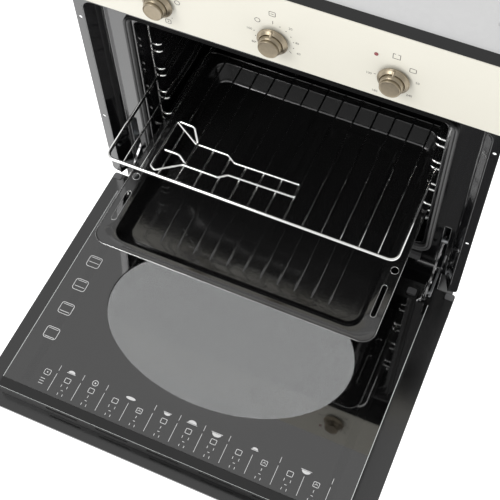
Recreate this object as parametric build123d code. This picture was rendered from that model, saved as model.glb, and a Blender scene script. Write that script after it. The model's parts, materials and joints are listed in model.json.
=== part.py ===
from build123d import *
import os

# Built-in gas oven with its drop-down door open, wire rack and baking tray pulled forward.
# Millimetres. X to the viewer's right, Y into the oven, Z up.
# The origin is the middle of the front at base level, on the plane where the flanges meet the cabinet.

# Overall front
front_width = 595.0
front_height = 595.0
panel_height = 112.0
panel_face_y = -13.0
sheet = 1.2
plate = 1.5
gap = 0.3

# Cabinet flange and the recess pressed into the front frame
flange_width = 12.5
flange_bottom_z = 69.0
flange_corner = 8.4
frame_overlap = 17.0
recess_side_run = 12.0
recess_top_room = 16.0
recess_top_run = 4.0
recess_depth = 26.0
recess_corner = 16.0
recess_fold = 5.0
apron_lap = 1.0
cabinet_screw_inset = 6.5
cabinet_screw_low_z = 214.0
cabinet_screw_high_z = 430.0
cabinet_screw_r = 2.6

# Oven cavity
mouth_side_room = 71.5
mouth_bottom_z = 131.0
mouth_top_room = 56.0
mouth_corner = 12.0
mouth_lip = 10.0
cavity_side_step = 6.0
cavity_top_step = 7.0
cavity_bottom_drop = 35.0
cavity_back_room = 62.5
cavity_corner = 18.0
cavity_flange = 9.0
floor_plate_drop = 2.0
flame_slot_w = 8.0
flame_slot_l = 30.0
flame_slot_pitch = 50.0
flame_slot_inset = 33.0

# Door seal and buffers
seal_side_step = 5.0
seal_end_step = 4.5
seal_side_w = 8.3
seal_end_w = 8.0
seal_inner_corner = 13.0
seal_outer_corner = 20.0
seal_edge = 1.8
buffer_w = 17.0
buffer_h = 13.0
buffer_overhang = 1.5
buffer_drop = 28.0
buffer_clearance = 1.2
buffer_groove = 1.6
buffer_groove_pitch = 4.4

# Outer casing
casing_inset = 32.0
cover_drop = 11.0
casing_back_y = 520.0
insulation = 12.0
insulation_gap = 0.6

# Door, stated as it lies open: its length runs from the hinge edge to the far edge along -Y
hinge_y = -8.0
hinge_z = 56.0
door_heel = 11.0
door_top_gap = 5.0
door_corner = 4.0
outer_panel_t = 5.0
glass_side_inset = 32.7
glass_hinge_inset = 36.0
glass_rise = 27.0
glass_t = 4.0
glass_corner = 3.0
trim_inset = 19.7
trim_width = 14.6
trim_slot_l = 51.5
trim_slot_h = 7.0
trim_slot_pitch = 81.0
trim_slots_each_side = 2
trim_slot_drop = 8.0
profile_flange = 18.8
mid_glass_drop = 14.0
mid_glass_t = 3.0
mid_glass_inset = 6.0
oval_side_margin = 66.8
oval_near_margin = 19.0
oval_far_margin = 78.4
oval_fit = 0.2
rail_hole_pitch = 34.0
rail_hole_w = 22.0
rail_hole_h = 5.0
rail_drop = 4.0
rail_heel_inset = 16.0
glass_strip_w = 12.0
pad_side_inset = 1.5
pad_w = 13.5
pad_l = 10.5
pad_t = 1.2
pad_corner = 2.5
clip_w = 14.0
clip_l = 11.0
clip_t = 4.3
clip_inset = 31.0

# Door handle, below the open door
handle_inset = 42.0
handle_drop = 32.0
handle_r = 7.0
handle_post_inset = 107.5
handle_overhang = 35.0
handle_post_r = 6.0
handle_foot_r = 10.0
handle_foot_t = 4.0

# Hinge parts, mirrored left and right
pivot_r = 2.5
pivot_running = 0.06
bracket_t = 3.0
bracket_room = 1.0
bracket_nose_r = 6.0
bracket_length = 60.0
door_hinge_t = 3.0
door_hinge_gap = 1.5
door_hinge_length = 142.0
arm_t = 3.0
arm_gap = 2.0
arm_half_height = 4.2
arm_pivot_reach = 26.0
arm_pivot_rise = 22.0
arm_reach = 86.0
arm_rise = 55.0
roller_r = 4.0
roller_inset = 12.5
roller_lift = 12.3
arm_slot_low_step = 4.0
arm_slot_length = 116.0
receiver_depth = 150.0
receiver_room = 1.6
receiver_top_room = 6.0
receiver_foot = 12.0

# Shelf ladders
ladder_wire_r = 2.0
ladder_stand_off = 8.4
ladder_rung_reach = 15.6
ladder_end_room = 29.5
ladder_foot_room = 46.0
ladder_top_room = 45.0
ladder_pair = 15.0
ladder_levels = 5
ladder_bend = 6.0
ladder_leg_low = 14.0
ladder_leg_high = 12.0
ladder_eye_r = 4.0
ladder_eye_drop = 20.0
ladder_eye_rise = 22.0

# Wire rack
rack_side_room = 7.6
rack_front_room = 10.5
rack_back_room = 41.5
rack_pull = 148.0
rack_frame_r = 2.5
rack_wire_r = 1.4
rack_pitch = 27.0
rack_corner = 12.0
rest_clearance = 0.1

# Baking tray
tray_side_room = 3.3
tray_front_room = 9.5
tray_back_room = 22.5
tray_pull = 224.0
tray_sheet = 1.2
tray_corner = 20.0
tray_rim_side = 26.0
tray_rim_end = 15.0
tray_well = 38.0
tray_well_corner = 22.0
tray_floor_corner = 18.0
tray_draft_side = 11.0
tray_draft_end = 26.0
tray_slot_inset = 14.3
tray_slot_w = 8.0
tray_slot_l = 55.0
tray_slot_from_front = 70.0
tray_hole_r = 6.0
tray_hole_inset = 10.3
tray_hole_from_front = 125.0
tray_rib_pitch = 27.0
tray_rib_w = 7.0
tray_rib_h = 1.4
tray_rib_margin = 14.0

# Lifter tool lying on the rack
lifter_wire_r = 1.75
lifter_from_front = 35.0
lifter_loop_bend = 2.4
lifter_bend = 5.0
lifter_rest = 0.15
claw_rise = 16.0

# Controls
knob_pitch = 155.2
knob_rise = 41.0
knob_stand_off = 3.3
skirt_r = 20.5
skirt_t = 3.0
neck_r = 15.6
waist_r = 13.6
cap_r = 14.6
knob_length = 15.6
knob_cap_t = 4.0
rib_half_w = 1.6
spindle_r = 3.0
spindle_running = 0.05
spindle_hole_r = 5.0
control_back_y = 6.6
control_end_wall = 4.5
tap_push = 3.0
tap_depth = 46.0
tap_width = 44.0
tap_height = 50.0
tap_plug_r = 7.0
tap_port = 10.0
timer_depth = 40.0
timer_size = 56.0
selector_depth = 34.0
selector_size = 40.0
lamp_x = 129.6
lamp_rise = 73.0
lamp_r = 2.6
lamp_collar = 3.0

# Gas parts
gas_pipe_r = 4.0
inlet_r = 10.4
inlet_bore_r = 6.0
inlet_inset = 65.5
inlet_drop = 39.0
inlet_length = 18.0
burner_front_room = 62.5
burner_back_room = 67.5
burner_rise = 14.0
burner_r = 9.0
burner_side_x = 70.0
burner_side_shorter = 20.0
burner_foot_inset = 30.0
burner_feed_offset = 40.0
burner_feed_r = 6.0
burner_pipe_drop = 36.0
probe_x = 99.0
probe_offset = 57.5
flue_half = 45.0
flue_back_room = 47.5
flue_length = 30.0

# Grill and lamp
grill_drop = 16.0
grill_side_room = 82.0
grill_front_room = 62.5
grill_back_room = 117.5
grill_return = 40.0
grill_inner_x = 55.0
grill_terminal_x = 60.0
grill_terminal_r = 3.4
grill_clip_from_front = 60.0
lamp_side_room = 82.0
lamp_hole_drop = 42.0
lamp_hole_r = 19.0
lamp_body_r = 24.0
lamp_glass_t = 4.0
bulb_r = 10.0

# Electric terminal block
terminal_inset = 90.5
terminal_half_w = 25.0
terminal_half_h = 15.0
terminal_rim = 5.0
gland_r = 9.0
gland_bore_r = 4.5

# Vents and trim
base_vent_pitch = 55.0
base_vent_w = 36.0
rear_vent_pitch = 60.0
rear_vent_w = 40.0
rear_vent_z = 300.0
trim_front_y = -10.0
bottom_trim_low_z = 2.0
bottom_trim_top_z = 40.0
bottom_slot_pitch = 60.0
bottom_slot_w = 44.0
bottom_slot_h = 6.0

# Fasteners
screw_r = 2.0
screw_head_r = 4.0
screw_head_t = 2.2

# Fits worked out from the sizes above: front and cavity
front_half = front_width / 2
panel_bottom_z = front_height - panel_height
frame_top_z = panel_bottom_z + frame_overlap
recess_half_mouth = front_half - flange_width
recess_half_floor = recess_half_mouth - recess_side_run
recess_mouth_top_z = panel_bottom_z - recess_top_room
recess_floor_top_z = recess_mouth_top_z - recess_top_run
recess_floor_bottom_z = flange_bottom_z - 2 * plate
recess_back_y = recess_depth + sheet
cabinet_screw_x = front_half - cabinet_screw_inset
mouth_half = front_half - mouth_side_room
mouth_top_z = panel_bottom_z - mouth_top_room
cavity_half = mouth_half + cavity_side_step
cavity_bottom_z = mouth_bottom_z - cavity_bottom_drop
cavity_top_z = mouth_top_z + cavity_top_step
cavity_front_y = recess_back_y + gap
cavity_back_y = casing_back_y - cavity_back_room
floor_plate_z = mouth_bottom_z - floor_plate_drop
casing_half = front_half - casing_inset
casing_top_z = front_height - cover_drop

# Fits: door, handle and hinges
door_near_y = hinge_y + door_heel
door_far_y = hinge_y - (panel_bottom_z - door_top_gap - hinge_z)
outer_panel_bottom_z = hinge_z - outer_panel_t
inner_glass_z = hinge_z + glass_rise
closed_glass_y = hinge_y + glass_rise
glass_half = front_half - glass_side_inset
glass_near_y = hinge_y - glass_hinge_inset
trim_far_y = door_far_y + trim_inset
glass_far_y = trim_far_y + trim_width + gap
profile_inner = glass_half - profile_flange
profile_bottom_z = hinge_z + gap
profile_top_z = inner_glass_z - glass_t - gap
mid_glass_z = inner_glass_z - mid_glass_drop
mid_glass_half = profile_inner - mid_glass_inset
oval_near_y = glass_near_y - oval_near_margin
oval_far_y = glass_far_y + oval_far_margin
oval_centre_y = (oval_near_y + oval_far_y) / 2
oval_half_y = (oval_near_y - oval_far_y) / 2
oval_half_x = glass_half - oval_side_margin
handle_y = door_far_y + handle_inset
handle_z = outer_panel_bottom_z - handle_drop
handle_post_x = front_half - handle_post_inset
handle_half = handle_post_x + handle_overhang
receiver_outer = casing_half - sheet - gap
bracket_x = receiver_outer - plate - bracket_room - bracket_t
arm_x = bracket_x - arm_gap - arm_t
door_hinge_x = arm_x - door_hinge_gap - door_hinge_t
receiver_inner = arm_x - receiver_room - plate
hinge_notch_inner = door_hinge_x - 2.0
hinge_notch_outer = bracket_x + bracket_t + plate
hinge_notch_y = hinge_y - bracket_nose_r - 3.0
arm_pivot_y = hinge_y - arm_pivot_reach
arm_pivot_z = hinge_z + arm_pivot_rise
arm_slot_bottom_z = arm_pivot_z + arm_slot_low_step
arm_slot_top_z = arm_slot_bottom_z + arm_slot_length
roller_y = cavity_front_y + roller_inset
roller_z = arm_pivot_z + (roller_y - arm_pivot_y) * arm_rise / arm_reach + roller_lift
receiver_top_z = arm_slot_top_z + receiver_top_room
receiver_bottom_z = hinge_z - receiver_foot

# Fits: ladders, rack, tray and lifter
ladder_wall_x = cavity_half - ladder_stand_off
ladder_rung_x = ladder_wall_x - ladder_rung_reach
ladder_front_y = cavity_front_y + ladder_end_room
ladder_back_y = cavity_back_y - ladder_end_room
ladder_lowest_z = mouth_bottom_z + ladder_foot_room
ladder_pitch = (cavity_top_z - ladder_top_room - ladder_lowest_z) / (ladder_levels - 1)
level_z = [ladder_lowest_z + ladder_pitch * n for n in range(ladder_levels)]
ladder_eye_z = (level_z[0] - ladder_eye_drop, level_z[-1] + ladder_eye_rise)
rack_half = ladder_wall_x - rack_side_room
rack_front_y = cavity_front_y + rack_front_room - rack_pull
rack_back_y = cavity_back_y - rack_back_room - rack_pull
rack_z = level_z[ladder_levels // 2] + ladder_wire_r + rack_frame_r + rest_clearance
rack_wires_each_side = int((rack_half - rack_corner) / rack_pitch)
tray_half = ladder_wall_x - ladder_wire_r - tray_side_room
tray_front_y = cavity_front_y + tray_front_room - tray_pull
tray_back_y = cavity_back_y - tray_back_room - tray_pull
tray_rim_z = level_z[0] + ladder_wire_r + rest_clearance
tray_floor_half = tray_half - tray_rim_side - tray_draft_side
tray_ribs_each_side = int((tray_floor_half - tray_corner) / tray_rib_pitch)
tray_slot_x = tray_half - tray_slot_inset
tray_slot_y = tray_front_y + tray_slot_from_front
lifter_y = rack_front_y + lifter_from_front

# Fits: controls, gas way, grill and lamp
knob_z = panel_bottom_z + knob_rise
knob_back_y = panel_face_y - knob_stand_off
spindle_bore_r = spindle_r + spindle_running
lamp_z = panel_bottom_z + lamp_rise
tap_back_y = control_back_y + rest_clearance + tap_depth
tap_plug_front = control_back_y + 8.0
tap_plug_back = tap_back_y - 6.0
tap_spindle_back = tap_plug_back - tap_push - 3.4
inlet_x = inlet_inset - casing_half
inlet_z = casing_top_z - inlet_drop
terminal_x = casing_half - terminal_inset
terminal_z = inlet_z
burner_front_y = cavity_front_y + burner_front_room
burner_back_y = cavity_back_y - burner_back_room
burner_middle_y = (burner_front_y + burner_back_y) / 2
burner_feed_y = burner_middle_y - burner_feed_offset
burner_z = cavity_bottom_z + burner_rise
burner_pipe_z = cavity_bottom_z - burner_pipe_drop
flue_back_y = cavity_back_y - flue_back_room
flue_front_y = flue_back_y - flue_length
grill_z = cavity_top_z - grill_drop
grill_half = cavity_half - grill_side_room
grill_front_y = cavity_front_y + grill_front_room
grill_back_y = cavity_back_y - grill_back_room
lamp_hole_x = cavity_half - lamp_side_room
lamp_hole_z = cavity_top_z - lamp_hole_drop


def block(x0, x1, y0, y1, z0, z1):
    """A box between two corners."""
    return Pos((x0 + x1) / 2, (y0 + y1) / 2, (z0 + z1) / 2) * Box(abs(x1 - x0), abs(y1 - y0), abs(z1 - z0))


def rounded_block(x0, x1, y0, y1, z0, z1, radius, axis):
    """A box whose four edges along one axis are rounded."""
    solid = block(x0, x1, y0, y1, z0, z1)
    return fillet(solid.edges().filter_by(axis), radius)


def rod_x(x0, x1, y, z, radius):
    """A round bar along X."""
    return Pos((x0 + x1) / 2, y, z) * Rot(0, 90, 0) * Cylinder(radius, abs(x1 - x0))


def rod_y(x, y0, y1, z, radius):
    """A round bar along Y."""
    return Pos(x, (y0 + y1) / 2, z) * Rot(90, 0, 0) * Cylinder(radius, abs(y1 - y0))


def rod_z(x, y, z0, z1, radius):
    """A round bar along Z."""
    return Pos(x, y, (z0 + z1) / 2) * Cylinder(radius, abs(z1 - z0))


def bent_wire(points, radius, bend, closed=False):
    """A round wire through a list of points with its corners bent."""
    path = FilletPolyline(*points, radius=bend, close=closed)
    return sweep(Plane(origin=path @ 0, z_dir=path % 0) * Circle(radius), path=path)


def mirrored(solid):
    """The same piece on the other side of the oven."""
    return mirror(solid, about=Plane.YZ)


def plate_yz(points, x0, thickness):
    """A flat plate of a given outline in the Y-Z plane."""
    outline = Polyline(*[(0, y, z) for y, z in points], close=True)
    return Pos(x0, 0, 0) * extrude(make_face(outline), thickness, dir=(1, 0, 0))


def xz_outline(half, bottom, top, corner, y):
    """A rounded rectangle facing the front at depth y."""
    centre = Plane(origin=(0, y, (bottom + top) / 2), x_dir=(1, 0, 0), z_dir=(0, -1, 0))
    return centre * RectangleRounded(2 * half, top - bottom, corner)


# Front frame
def recess_form(inset):
    """The pressed recess as a tapered solid with a folded edge, smaller by the sheet on the inside."""
    low = -recess_mouth_top_z
    mouth = xz_outline(recess_half_mouth - inset, low, recess_mouth_top_z - inset, recess_corner, -inset)
    floor_half = recess_half_floor - inset
    floor = xz_outline(floor_half, low, recess_floor_top_z - inset, recess_corner, recess_back_y - inset)
    form = loft([mouth, floor])
    return fillet(form.faces().sort_by(Axis.Y)[-1].edges(), recess_fold - inset)


def front_frame():
    """The enamelled frame: side flanges, recess, cavity mouth and hinge slots."""
    flange = block(-front_half, front_half, 0, sheet, flange_bottom_z, frame_top_z)
    flange = fillet(flange.edges().filter_by(Axis.Y).group_by(Axis.Z)[0], flange_corner)
    kept = block(-front_half, front_half, 0, recess_back_y, recess_floor_bottom_z, frame_top_z)
    pan = recess_form(0) & kept
    apron_top = recess_floor_bottom_z + apron_lap
    apron = block(-casing_half, casing_half, recess_depth, recess_back_y, sheet, apron_top)
    frame = flange + pan - recess_form(sheet) + apron
    mouth = xz_outline(mouth_half, mouth_bottom_z, mouth_top_z, mouth_corner, 0)
    lip_outer = xz_outline(mouth_half + sheet, mouth_bottom_z - sheet, mouth_top_z + sheet, mouth_corner, 0)
    lip_end = recess_back_y + mouth_lip
    lip = Pos(0, lip_end, 0) * extrude(lip_outer, mouth_lip + sheet)
    frame = frame + lip - Pos(0, lip_end + 1, 0) * extrude(mouth, 2 * lip_end)
    for side in (-1, 1):
        for height in (cabinet_screw_low_z, cabinet_screw_high_z):
            frame -= rod_y(side * cabinet_screw_x, -1, sheet + 1, height, cabinet_screw_r)
        slot_in = side * (receiver_inner + plate)
        slot_out = side * (receiver_outer - plate)
        frame -= block(slot_in, slot_out, recess_depth - 1, recess_back_y + 1,
                       arm_slot_bottom_z, arm_slot_top_z)
        nose_in = side * (bracket_x - gap)
        nose_out = side * (bracket_x + bracket_t + gap)
        nose_low = hinge_z - bracket_nose_r - gap
        nose_high = hinge_z + bracket_nose_r + gap
        frame -= block(nose_in, nose_out, recess_depth - 1, recess_back_y + 1, nose_low, nose_high)
    return frame


def gasket():
    """The door seal: a flat-fronted ring round the mouth, on the floor of the recess."""
    depth = recess_depth - closed_glass_y - gap
    inner_half = mouth_half + seal_side_step
    inner_low = mouth_bottom_z - seal_end_step
    inner_top = mouth_top_z + seal_end_step
    inner = xz_outline(inner_half, inner_low, inner_top, seal_inner_corner, recess_depth)
    outer = xz_outline(inner_half + seal_side_w, inner_low - seal_end_w, inner_top + seal_end_w,
                       seal_outer_corner, recess_depth)
    ring = extrude(outer, depth) - extrude(inner, depth)
    return fillet(ring.faces().sort_by(Axis.Y)[0].edges(), seal_edge)


def frame_buffers():
    """Two small ribbed blocks that the closed inner glass stops against."""
    blocks = []
    outer = mouth_half + buffer_overhang
    front = closed_glass_y + buffer_clearance
    top = mouth_bottom_z - buffer_drop
    middle = outer - buffer_w / 2
    for side in (-1, 1):
        body = block(side * outer, side * (outer - buffer_w), front, recess_depth, top - buffer_h, top)
        for step in (-1, 0, 1):
            low_x = middle + buffer_groove_pitch * step - buffer_groove / 2
            body -= block(side * low_x, side * (low_x + buffer_groove), front - 1, front + buffer_groove / 2,
                          top - buffer_h - 1, top + 1)
        blocks.append(body)
    return Compound(blocks)


# Cavity
def cavity_liner():
    """The enamelled box of the cavity, open at the front, with a flange behind the frame."""
    back = cavity_back_y
    low = cavity_bottom_z
    high = cavity_top_z
    outer = rounded_block(-cavity_half - sheet, cavity_half + sheet, cavity_front_y, back + sheet,
                          low - sheet, high + sheet, cavity_corner + sheet, Axis.Y)
    inner = rounded_block(-cavity_half, cavity_half, cavity_front_y - 1, back,
                          low, high, cavity_corner, Axis.Y)
    rim = cavity_half + cavity_flange
    flange = block(-rim, rim, cavity_front_y, cavity_front_y + sheet,
                   low - cavity_flange, high + cavity_flange)
    liner = outer + flange - inner
    liner -= rod_y(lamp_hole_x, back - 1, back + sheet + 1, lamp_hole_z, lamp_hole_r)
    for side in (-1, 1):
        liner -= rod_y(side * grill_terminal_x, back - 1, back + sheet + 1, grill_z, grill_terminal_r + 0.2)
    liner -= block(-flue_half, flue_half, flue_front_y, flue_back_y, high - 1, high + sheet + 1)
    liner -= rod_z(0, burner_feed_y, low - sheet - 1, low + 1, burner_feed_r + 0.2)
    for side in (-1, 1):
        for y in (ladder_front_y, ladder_back_y):
            for z in ladder_eye_z:
                outside = side * (cavity_half + sheet + 1)
                liner -= rod_x(side * (cavity_half - 1), outside, y, z, screw_r + 0.1)
    return liner


def floor_plate():
    """The loose plate over the burner, with rows of flame slots along both sides."""
    half = cavity_half - 1.0
    front = cavity_front_y + 6
    back = cavity_back_y - 3
    body = block(-half, half, front, back, floor_plate_z - plate, floor_plate_z)
    slot_out = half - flame_slot_inset
    slots = int((back - burner_front_y) / flame_slot_pitch)
    for side in (-1, 1):
        leg_low = cavity_bottom_z + cavity_corner + 1
        body += block(side * half, side * (half - plate), front, back, leg_low, floor_plate_z)
        for step in range(slots):
            y = burner_front_y + flame_slot_pitch * step
            body -= block(side * slot_out, side * (slot_out - flame_slot_w), y, y + flame_slot_l,
                          floor_plate_z - plate - 1, floor_plate_z + 1)
    return body


def insulation_blanket():
    """Mineral wool round the sides, top and back of the cavity."""
    inner_half = cavity_half + sheet + insulation_gap
    inner_top = cavity_top_z + sheet + insulation_gap
    inner_back = cavity_back_y + sheet + insulation_gap
    front = cavity_front_y + sheet + gap
    low = cavity_bottom_z + insulation
    outer = block(-inner_half - insulation, inner_half + insulation, front, inner_back + insulation,
                  low, inner_top + insulation)
    inner = block(-inner_half, inner_half, front - 1, inner_back, low - 1, inner_top)
    wool = outer - inner
    end = inner_back + insulation + 1
    wool -= rod_y(lamp_hole_x, inner_back - 1, end, lamp_hole_z, lamp_body_r + 1)
    for side in (-1, 1):
        wool -= rod_y(side * grill_terminal_x, inner_back - 1, end, grill_z, 9)
    wool -= block(-flue_half - 3, flue_half + 3, flue_front_y - 3, flue_back_y + 3, inner_top - 1,
                  inner_top + insulation + 1)
    for side in (-1, 1):
        for z in ladder_eye_z:
            for y in (ladder_front_y, ladder_back_y):
                wool -= rod_x(side * (inner_half - 1), side * (inner_half + 6), y, z, screw_head_r + 1)
    return wool


# Shelf ladders
def shelf_ladder():
    """One side ladder: two uprights, pairs of long rungs, and four fixing eyes."""
    low = floor_plate_z + ladder_leg_low
    high = level_z[-1] + ladder_pair + ladder_leg_high
    frame = rod_z(ladder_wall_x, ladder_front_y, low, high, ladder_wire_r)
    frame += rod_z(ladder_wall_x, ladder_back_y, low, high, ladder_wire_r)
    for level in level_z:
        for z in (level, level + ladder_pair):
            corners = [
                (ladder_wall_x, ladder_front_y, z),
                (ladder_rung_x, ladder_front_y, z),
                (ladder_rung_x, ladder_back_y, z),
                (ladder_wall_x, ladder_back_y, z),
            ]
            frame += bent_wire(corners, ladder_wire_r, ladder_bend)
    for y in (ladder_front_y, ladder_back_y):
        for z in ladder_eye_z:
            frame += rod_x(ladder_wall_x, cavity_half, y, z, ladder_eye_r)
            frame -= rod_x(ladder_wall_x - 6, cavity_half + 1, y, z, screw_r + 0.1)
    return frame


def ladder_screws():
    """Screws that hold the ladders to the cavity walls."""
    screws = []
    for side in (-1, 1):
        for y in (ladder_front_y, ladder_back_y):
            for z in ladder_eye_z:
                seat = ladder_wall_x - ladder_eye_r
                shank = rod_x(side * seat, side * (cavity_half + sheet + screw_head_r), y, z, screw_r)
                head = rod_x(side * (seat - screw_head_t), side * seat, y, z, screw_head_r)
                screws.append(shank + head)
    return Compound(screws)


# Wire rack, baking tray and lifter
def oven_rack():
    """A rounded wire frame with thinner wires running front to back."""
    front = rack_front_y
    back = rack_back_y
    half = rack_half
    z = rack_z
    corners = [(half, front, z), (half, back, z), (-half, back, z), (-half, front, z)]
    rack = bent_wire(corners, rack_frame_r, rack_corner, closed=True)
    for step in range(-rack_wires_each_side, rack_wires_each_side + 1):
        rack += rod_y(rack_pitch * step, front, back, z, rack_wire_r)
    return rack


def tray_form(depth_below, inset, top):
    """A tapered well as a solid, from the rim down, smaller by an inset."""
    half = tray_half - tray_rim_side - inset
    front = tray_front_y + tray_rim_end + inset
    back = tray_back_y - tray_rim_end - inset
    middle = (front + back) / 2
    mouth_outline = RectangleRounded(2 * half, back - front, tray_well_corner - inset)
    floor_half = half - tray_draft_side
    floor_length = back - front - 2 * tray_draft_end
    floor_outline = RectangleRounded(2 * floor_half, floor_length, tray_floor_corner - inset)
    base_z = tray_rim_z - depth_below
    return loft([Pos(0, middle, top) * mouth_outline, Pos(0, middle, base_z) * floor_outline])


def baking_tray():
    """A pressed tray: wide flat rim with hand slots and stop holes, sloping walls and a ribbed floor."""
    top = tray_rim_z + tray_sheet
    middle = (tray_front_y + tray_back_y) / 2
    outline = RectangleRounded(2 * tray_half, tray_back_y - tray_front_y, tray_corner)
    rim = Pos(0, middle, tray_rim_z) * extrude(outline, tray_sheet)
    tray = rim + tray_form(tray_well, 0, tray_rim_z + tray_sheet / 2)
    tray -= tray_form(tray_well - tray_sheet, tray_sheet, top + 0.01)
    for side in (-1, 1):
        slot = Pos(side * tray_slot_x, tray_slot_y, tray_rim_z - 1) * Rot(0, 0, 90)
        tray -= slot * extrude(SlotOverall(tray_slot_l, tray_slot_w), tray_sheet + 2)
        hole_x = side * (tray_half - tray_hole_inset)
        hole_y = tray_front_y + tray_hole_from_front
        tray -= rod_z(hole_x, hole_y, tray_rim_z - 1, top + 1, tray_hole_r)
    floor_z = tray_rim_z - tray_well + tray_sheet
    rib_inset = tray_rim_end + tray_draft_end + tray_rib_margin
    rib_front = tray_front_y + rib_inset
    rib_back = tray_back_y - rib_inset
    for step in range(-tray_ribs_each_side, tray_ribs_each_side + 1):
        x = tray_rib_pitch * step
        rib = block(x - tray_rib_w / 2, x + tray_rib_w / 2, rib_front, rib_back,
                    floor_z - tray_sheet / 3, floor_z + tray_rib_h)
        tray += fillet(rib.edges().filter_by(Axis.Y).group_by(Axis.Z)[-1], tray_rib_h * 0.8)
    return tray


def lifter_tool():
    """A wire handle with a flared head and a raised claw for lifting hot trays."""
    z = rack_z + rack_wire_r + lifter_wire_r + lifter_rest
    y = lifter_y
    loop = [
        (54, y + 4, z), (54, y + 26, z), (-44, y + 24, z), (-58, y + 33, z), (-108, y + 33, z),
        (-150, y + 59, z), (-150, y - 25, z), (-142, y - 30, z), (-110, y - 7, z), (-56, y - 7, z),
        (-44, y + 2, z),
    ]
    tool = bent_wire(loop, lifter_wire_r, lifter_loop_bend, closed=True)
    over = z + 2 * lifter_wire_r - 0.4
    tip = over + claw_rise
    claw = [
        (-136, y - 5, tip), (-114, y - 5, tip), (-105, y - 7, over), (-105, y + 33, over),
        (-115, y + 46, tip), (-137, y + 47, tip),
    ]
    return tool + bent_wire(claw, lifter_wire_r, lifter_bend)


# Door, modelled as it lies open
def oval_plate(grow, y, z0, z1):
    """An oval prism over the door's window."""
    face = Pos(0, y, z0) * Ellipse(oval_half_x + grow, oval_half_y + grow)
    return extrude(face, z1 - z0)


def door_outer_panel():
    """The full-width outer panel, with an oval window hole and two hinge notches."""
    z0 = outer_panel_bottom_z
    panel = rounded_block(-front_half, front_half, door_far_y, door_near_y, z0, hinge_z, door_corner, Axis.Z)
    panel -= oval_plate(0, oval_centre_y, z0 - 1, hinge_z + 1)
    for side in (-1, 1):
        panel -= block(side * hinge_notch_inner, side * hinge_notch_outer, hinge_notch_y, door_near_y + 1,
                       z0 - 1, hinge_z + 1)
        panel -= rod_z(side * handle_post_x, handle_y, z0 - 1, hinge_z + 1, screw_r + 0.2)
    return panel


def oval_window_glass():
    """The clear oval pane, bedded in the panel's hole."""
    return oval_plate(-oval_fit, oval_centre_y, outer_panel_bottom_z + 0.5, hinge_z - 0.5)


def door_side_profile(side):
    """A folded channel along one side of the door that carries both inner panes."""
    outer = side * glass_half
    inner = side * profile_inner
    z0 = profile_bottom_z
    z1 = profile_top_z
    near = glass_near_y - 2
    far = glass_far_y
    web = block(outer, outer - side * plate, far, near, z0, z1)
    low = block(outer, inner, far, near, z0, z0 + plate)
    high = block(outer, inner, far, near, z1 - plate, z1)
    return web + low + high


def door_bottom_rail():
    """The folded rail at the hinge edge of the door."""
    half = profile_inner - 2
    z0 = profile_bottom_z
    z1 = profile_top_z - rail_drop
    near = door_near_y - rail_heel_inset
    far = glass_near_y - 6
    rail = block(-half, half, far, near, z0, z0 + plate)
    rail += block(-half, half, near - plate, near, z0, z1)
    rail += block(-half, half, far, near, z1 - plate, z1)
    holes = int((half - rail_hole_w) / rail_hole_pitch)
    hole_low = (z0 + z1 - rail_hole_h) / 2
    for step in range(-holes, holes + 1):
        x = step * rail_hole_pitch
        rail -= block(x - rail_hole_w / 2, x + rail_hole_w / 2, near - plate - 1, near + 1,
                      hole_low, hole_low + rail_hole_h)
    return rail


def door_top_trim():
    """The slotted vent trim at the far edge of the open door."""
    z0 = profile_bottom_z
    z1 = inner_glass_z
    near = glass_far_y - gap
    half = glass_half
    trim = block(-half, half, trim_far_y, near, z0, z1)
    trim -= block(-half + 2, half - 2, trim_far_y + 2, near + 1, z0 - 1, z1 - 2)
    trim = chamfer(trim.edges().filter_by(Axis.X).group_by(Axis.Z)[-1].group_by(Axis.Y)[0], 1.2)
    slot_top = inner_glass_z - trim_slot_drop
    for step in range(-trim_slots_each_side, trim_slots_each_side + 1):
        x = trim_slot_pitch * step
        slot = block(x - trim_slot_l / 2, x + trim_slot_l / 2, trim_far_y - 1, trim_far_y + 3,
                     slot_top - trim_slot_h, slot_top)
        trim -= fillet(slot.edges().filter_by(Axis.Y), trim_slot_h / 2 - gap)
    return trim


def door_glass(half, near, far, top, thickness):
    """A pane of door glass with rounded corners."""
    return rounded_block(-half, half, far, near, top - thickness, top, glass_corner, Axis.Z)


def inner_glass():
    """The dark pane that faces the cavity when the door is shut."""
    return door_glass(glass_half, glass_near_y, glass_far_y, inner_glass_z, glass_t)


def middle_glass():
    """The clear pane between the inner glass and the oval window."""
    return door_glass(mid_glass_half, glass_near_y - 10, glass_far_y + 8, mid_glass_z, mid_glass_t)


def glass_seals():
    """Rubber strips that space the middle pane off its shelf and hold it down."""
    strips = []
    for side in (-1, 1):
        inner = side * (mid_glass_half - glass_strip_w)
        outer = side * mid_glass_half
        far = glass_far_y + 10
        near = glass_near_y - 12
        strips.append(block(inner, outer, far, near, profile_bottom_z, mid_glass_z - mid_glass_t))
        strips.append(block(inner, outer, far, near, mid_glass_z, profile_top_z + gap))
    return Compound(strips)


def corner_pads():
    """Small grey pads on the outer panel's lower corners, and two glass clips on the bottom rail."""
    pads = []
    clip_z = profile_top_z - rail_drop
    for side in (-1, 1):
        outer = front_half - pad_side_inset
        near = door_near_y - pad_side_inset
        pad = block(side * outer, side * (outer - pad_w), near - pad_l, near, hinge_z, hinge_z + pad_t)
        pads.append(fillet(pad.edges().filter_by(Axis.Z), pad_corner))
        clip_x = glass_half - clip_inset
        clip_y = door_near_y - clip_inset
        clip = block(side * clip_x - clip_w / 2, side * clip_x + clip_w / 2, clip_y - clip_l / 2,
                     clip_y + clip_l / 2, clip_z, clip_z + clip_t)
        pads.append(fillet(clip.edges().filter_by(Axis.Z), pad_corner))
    return Compound(pads)


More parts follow.
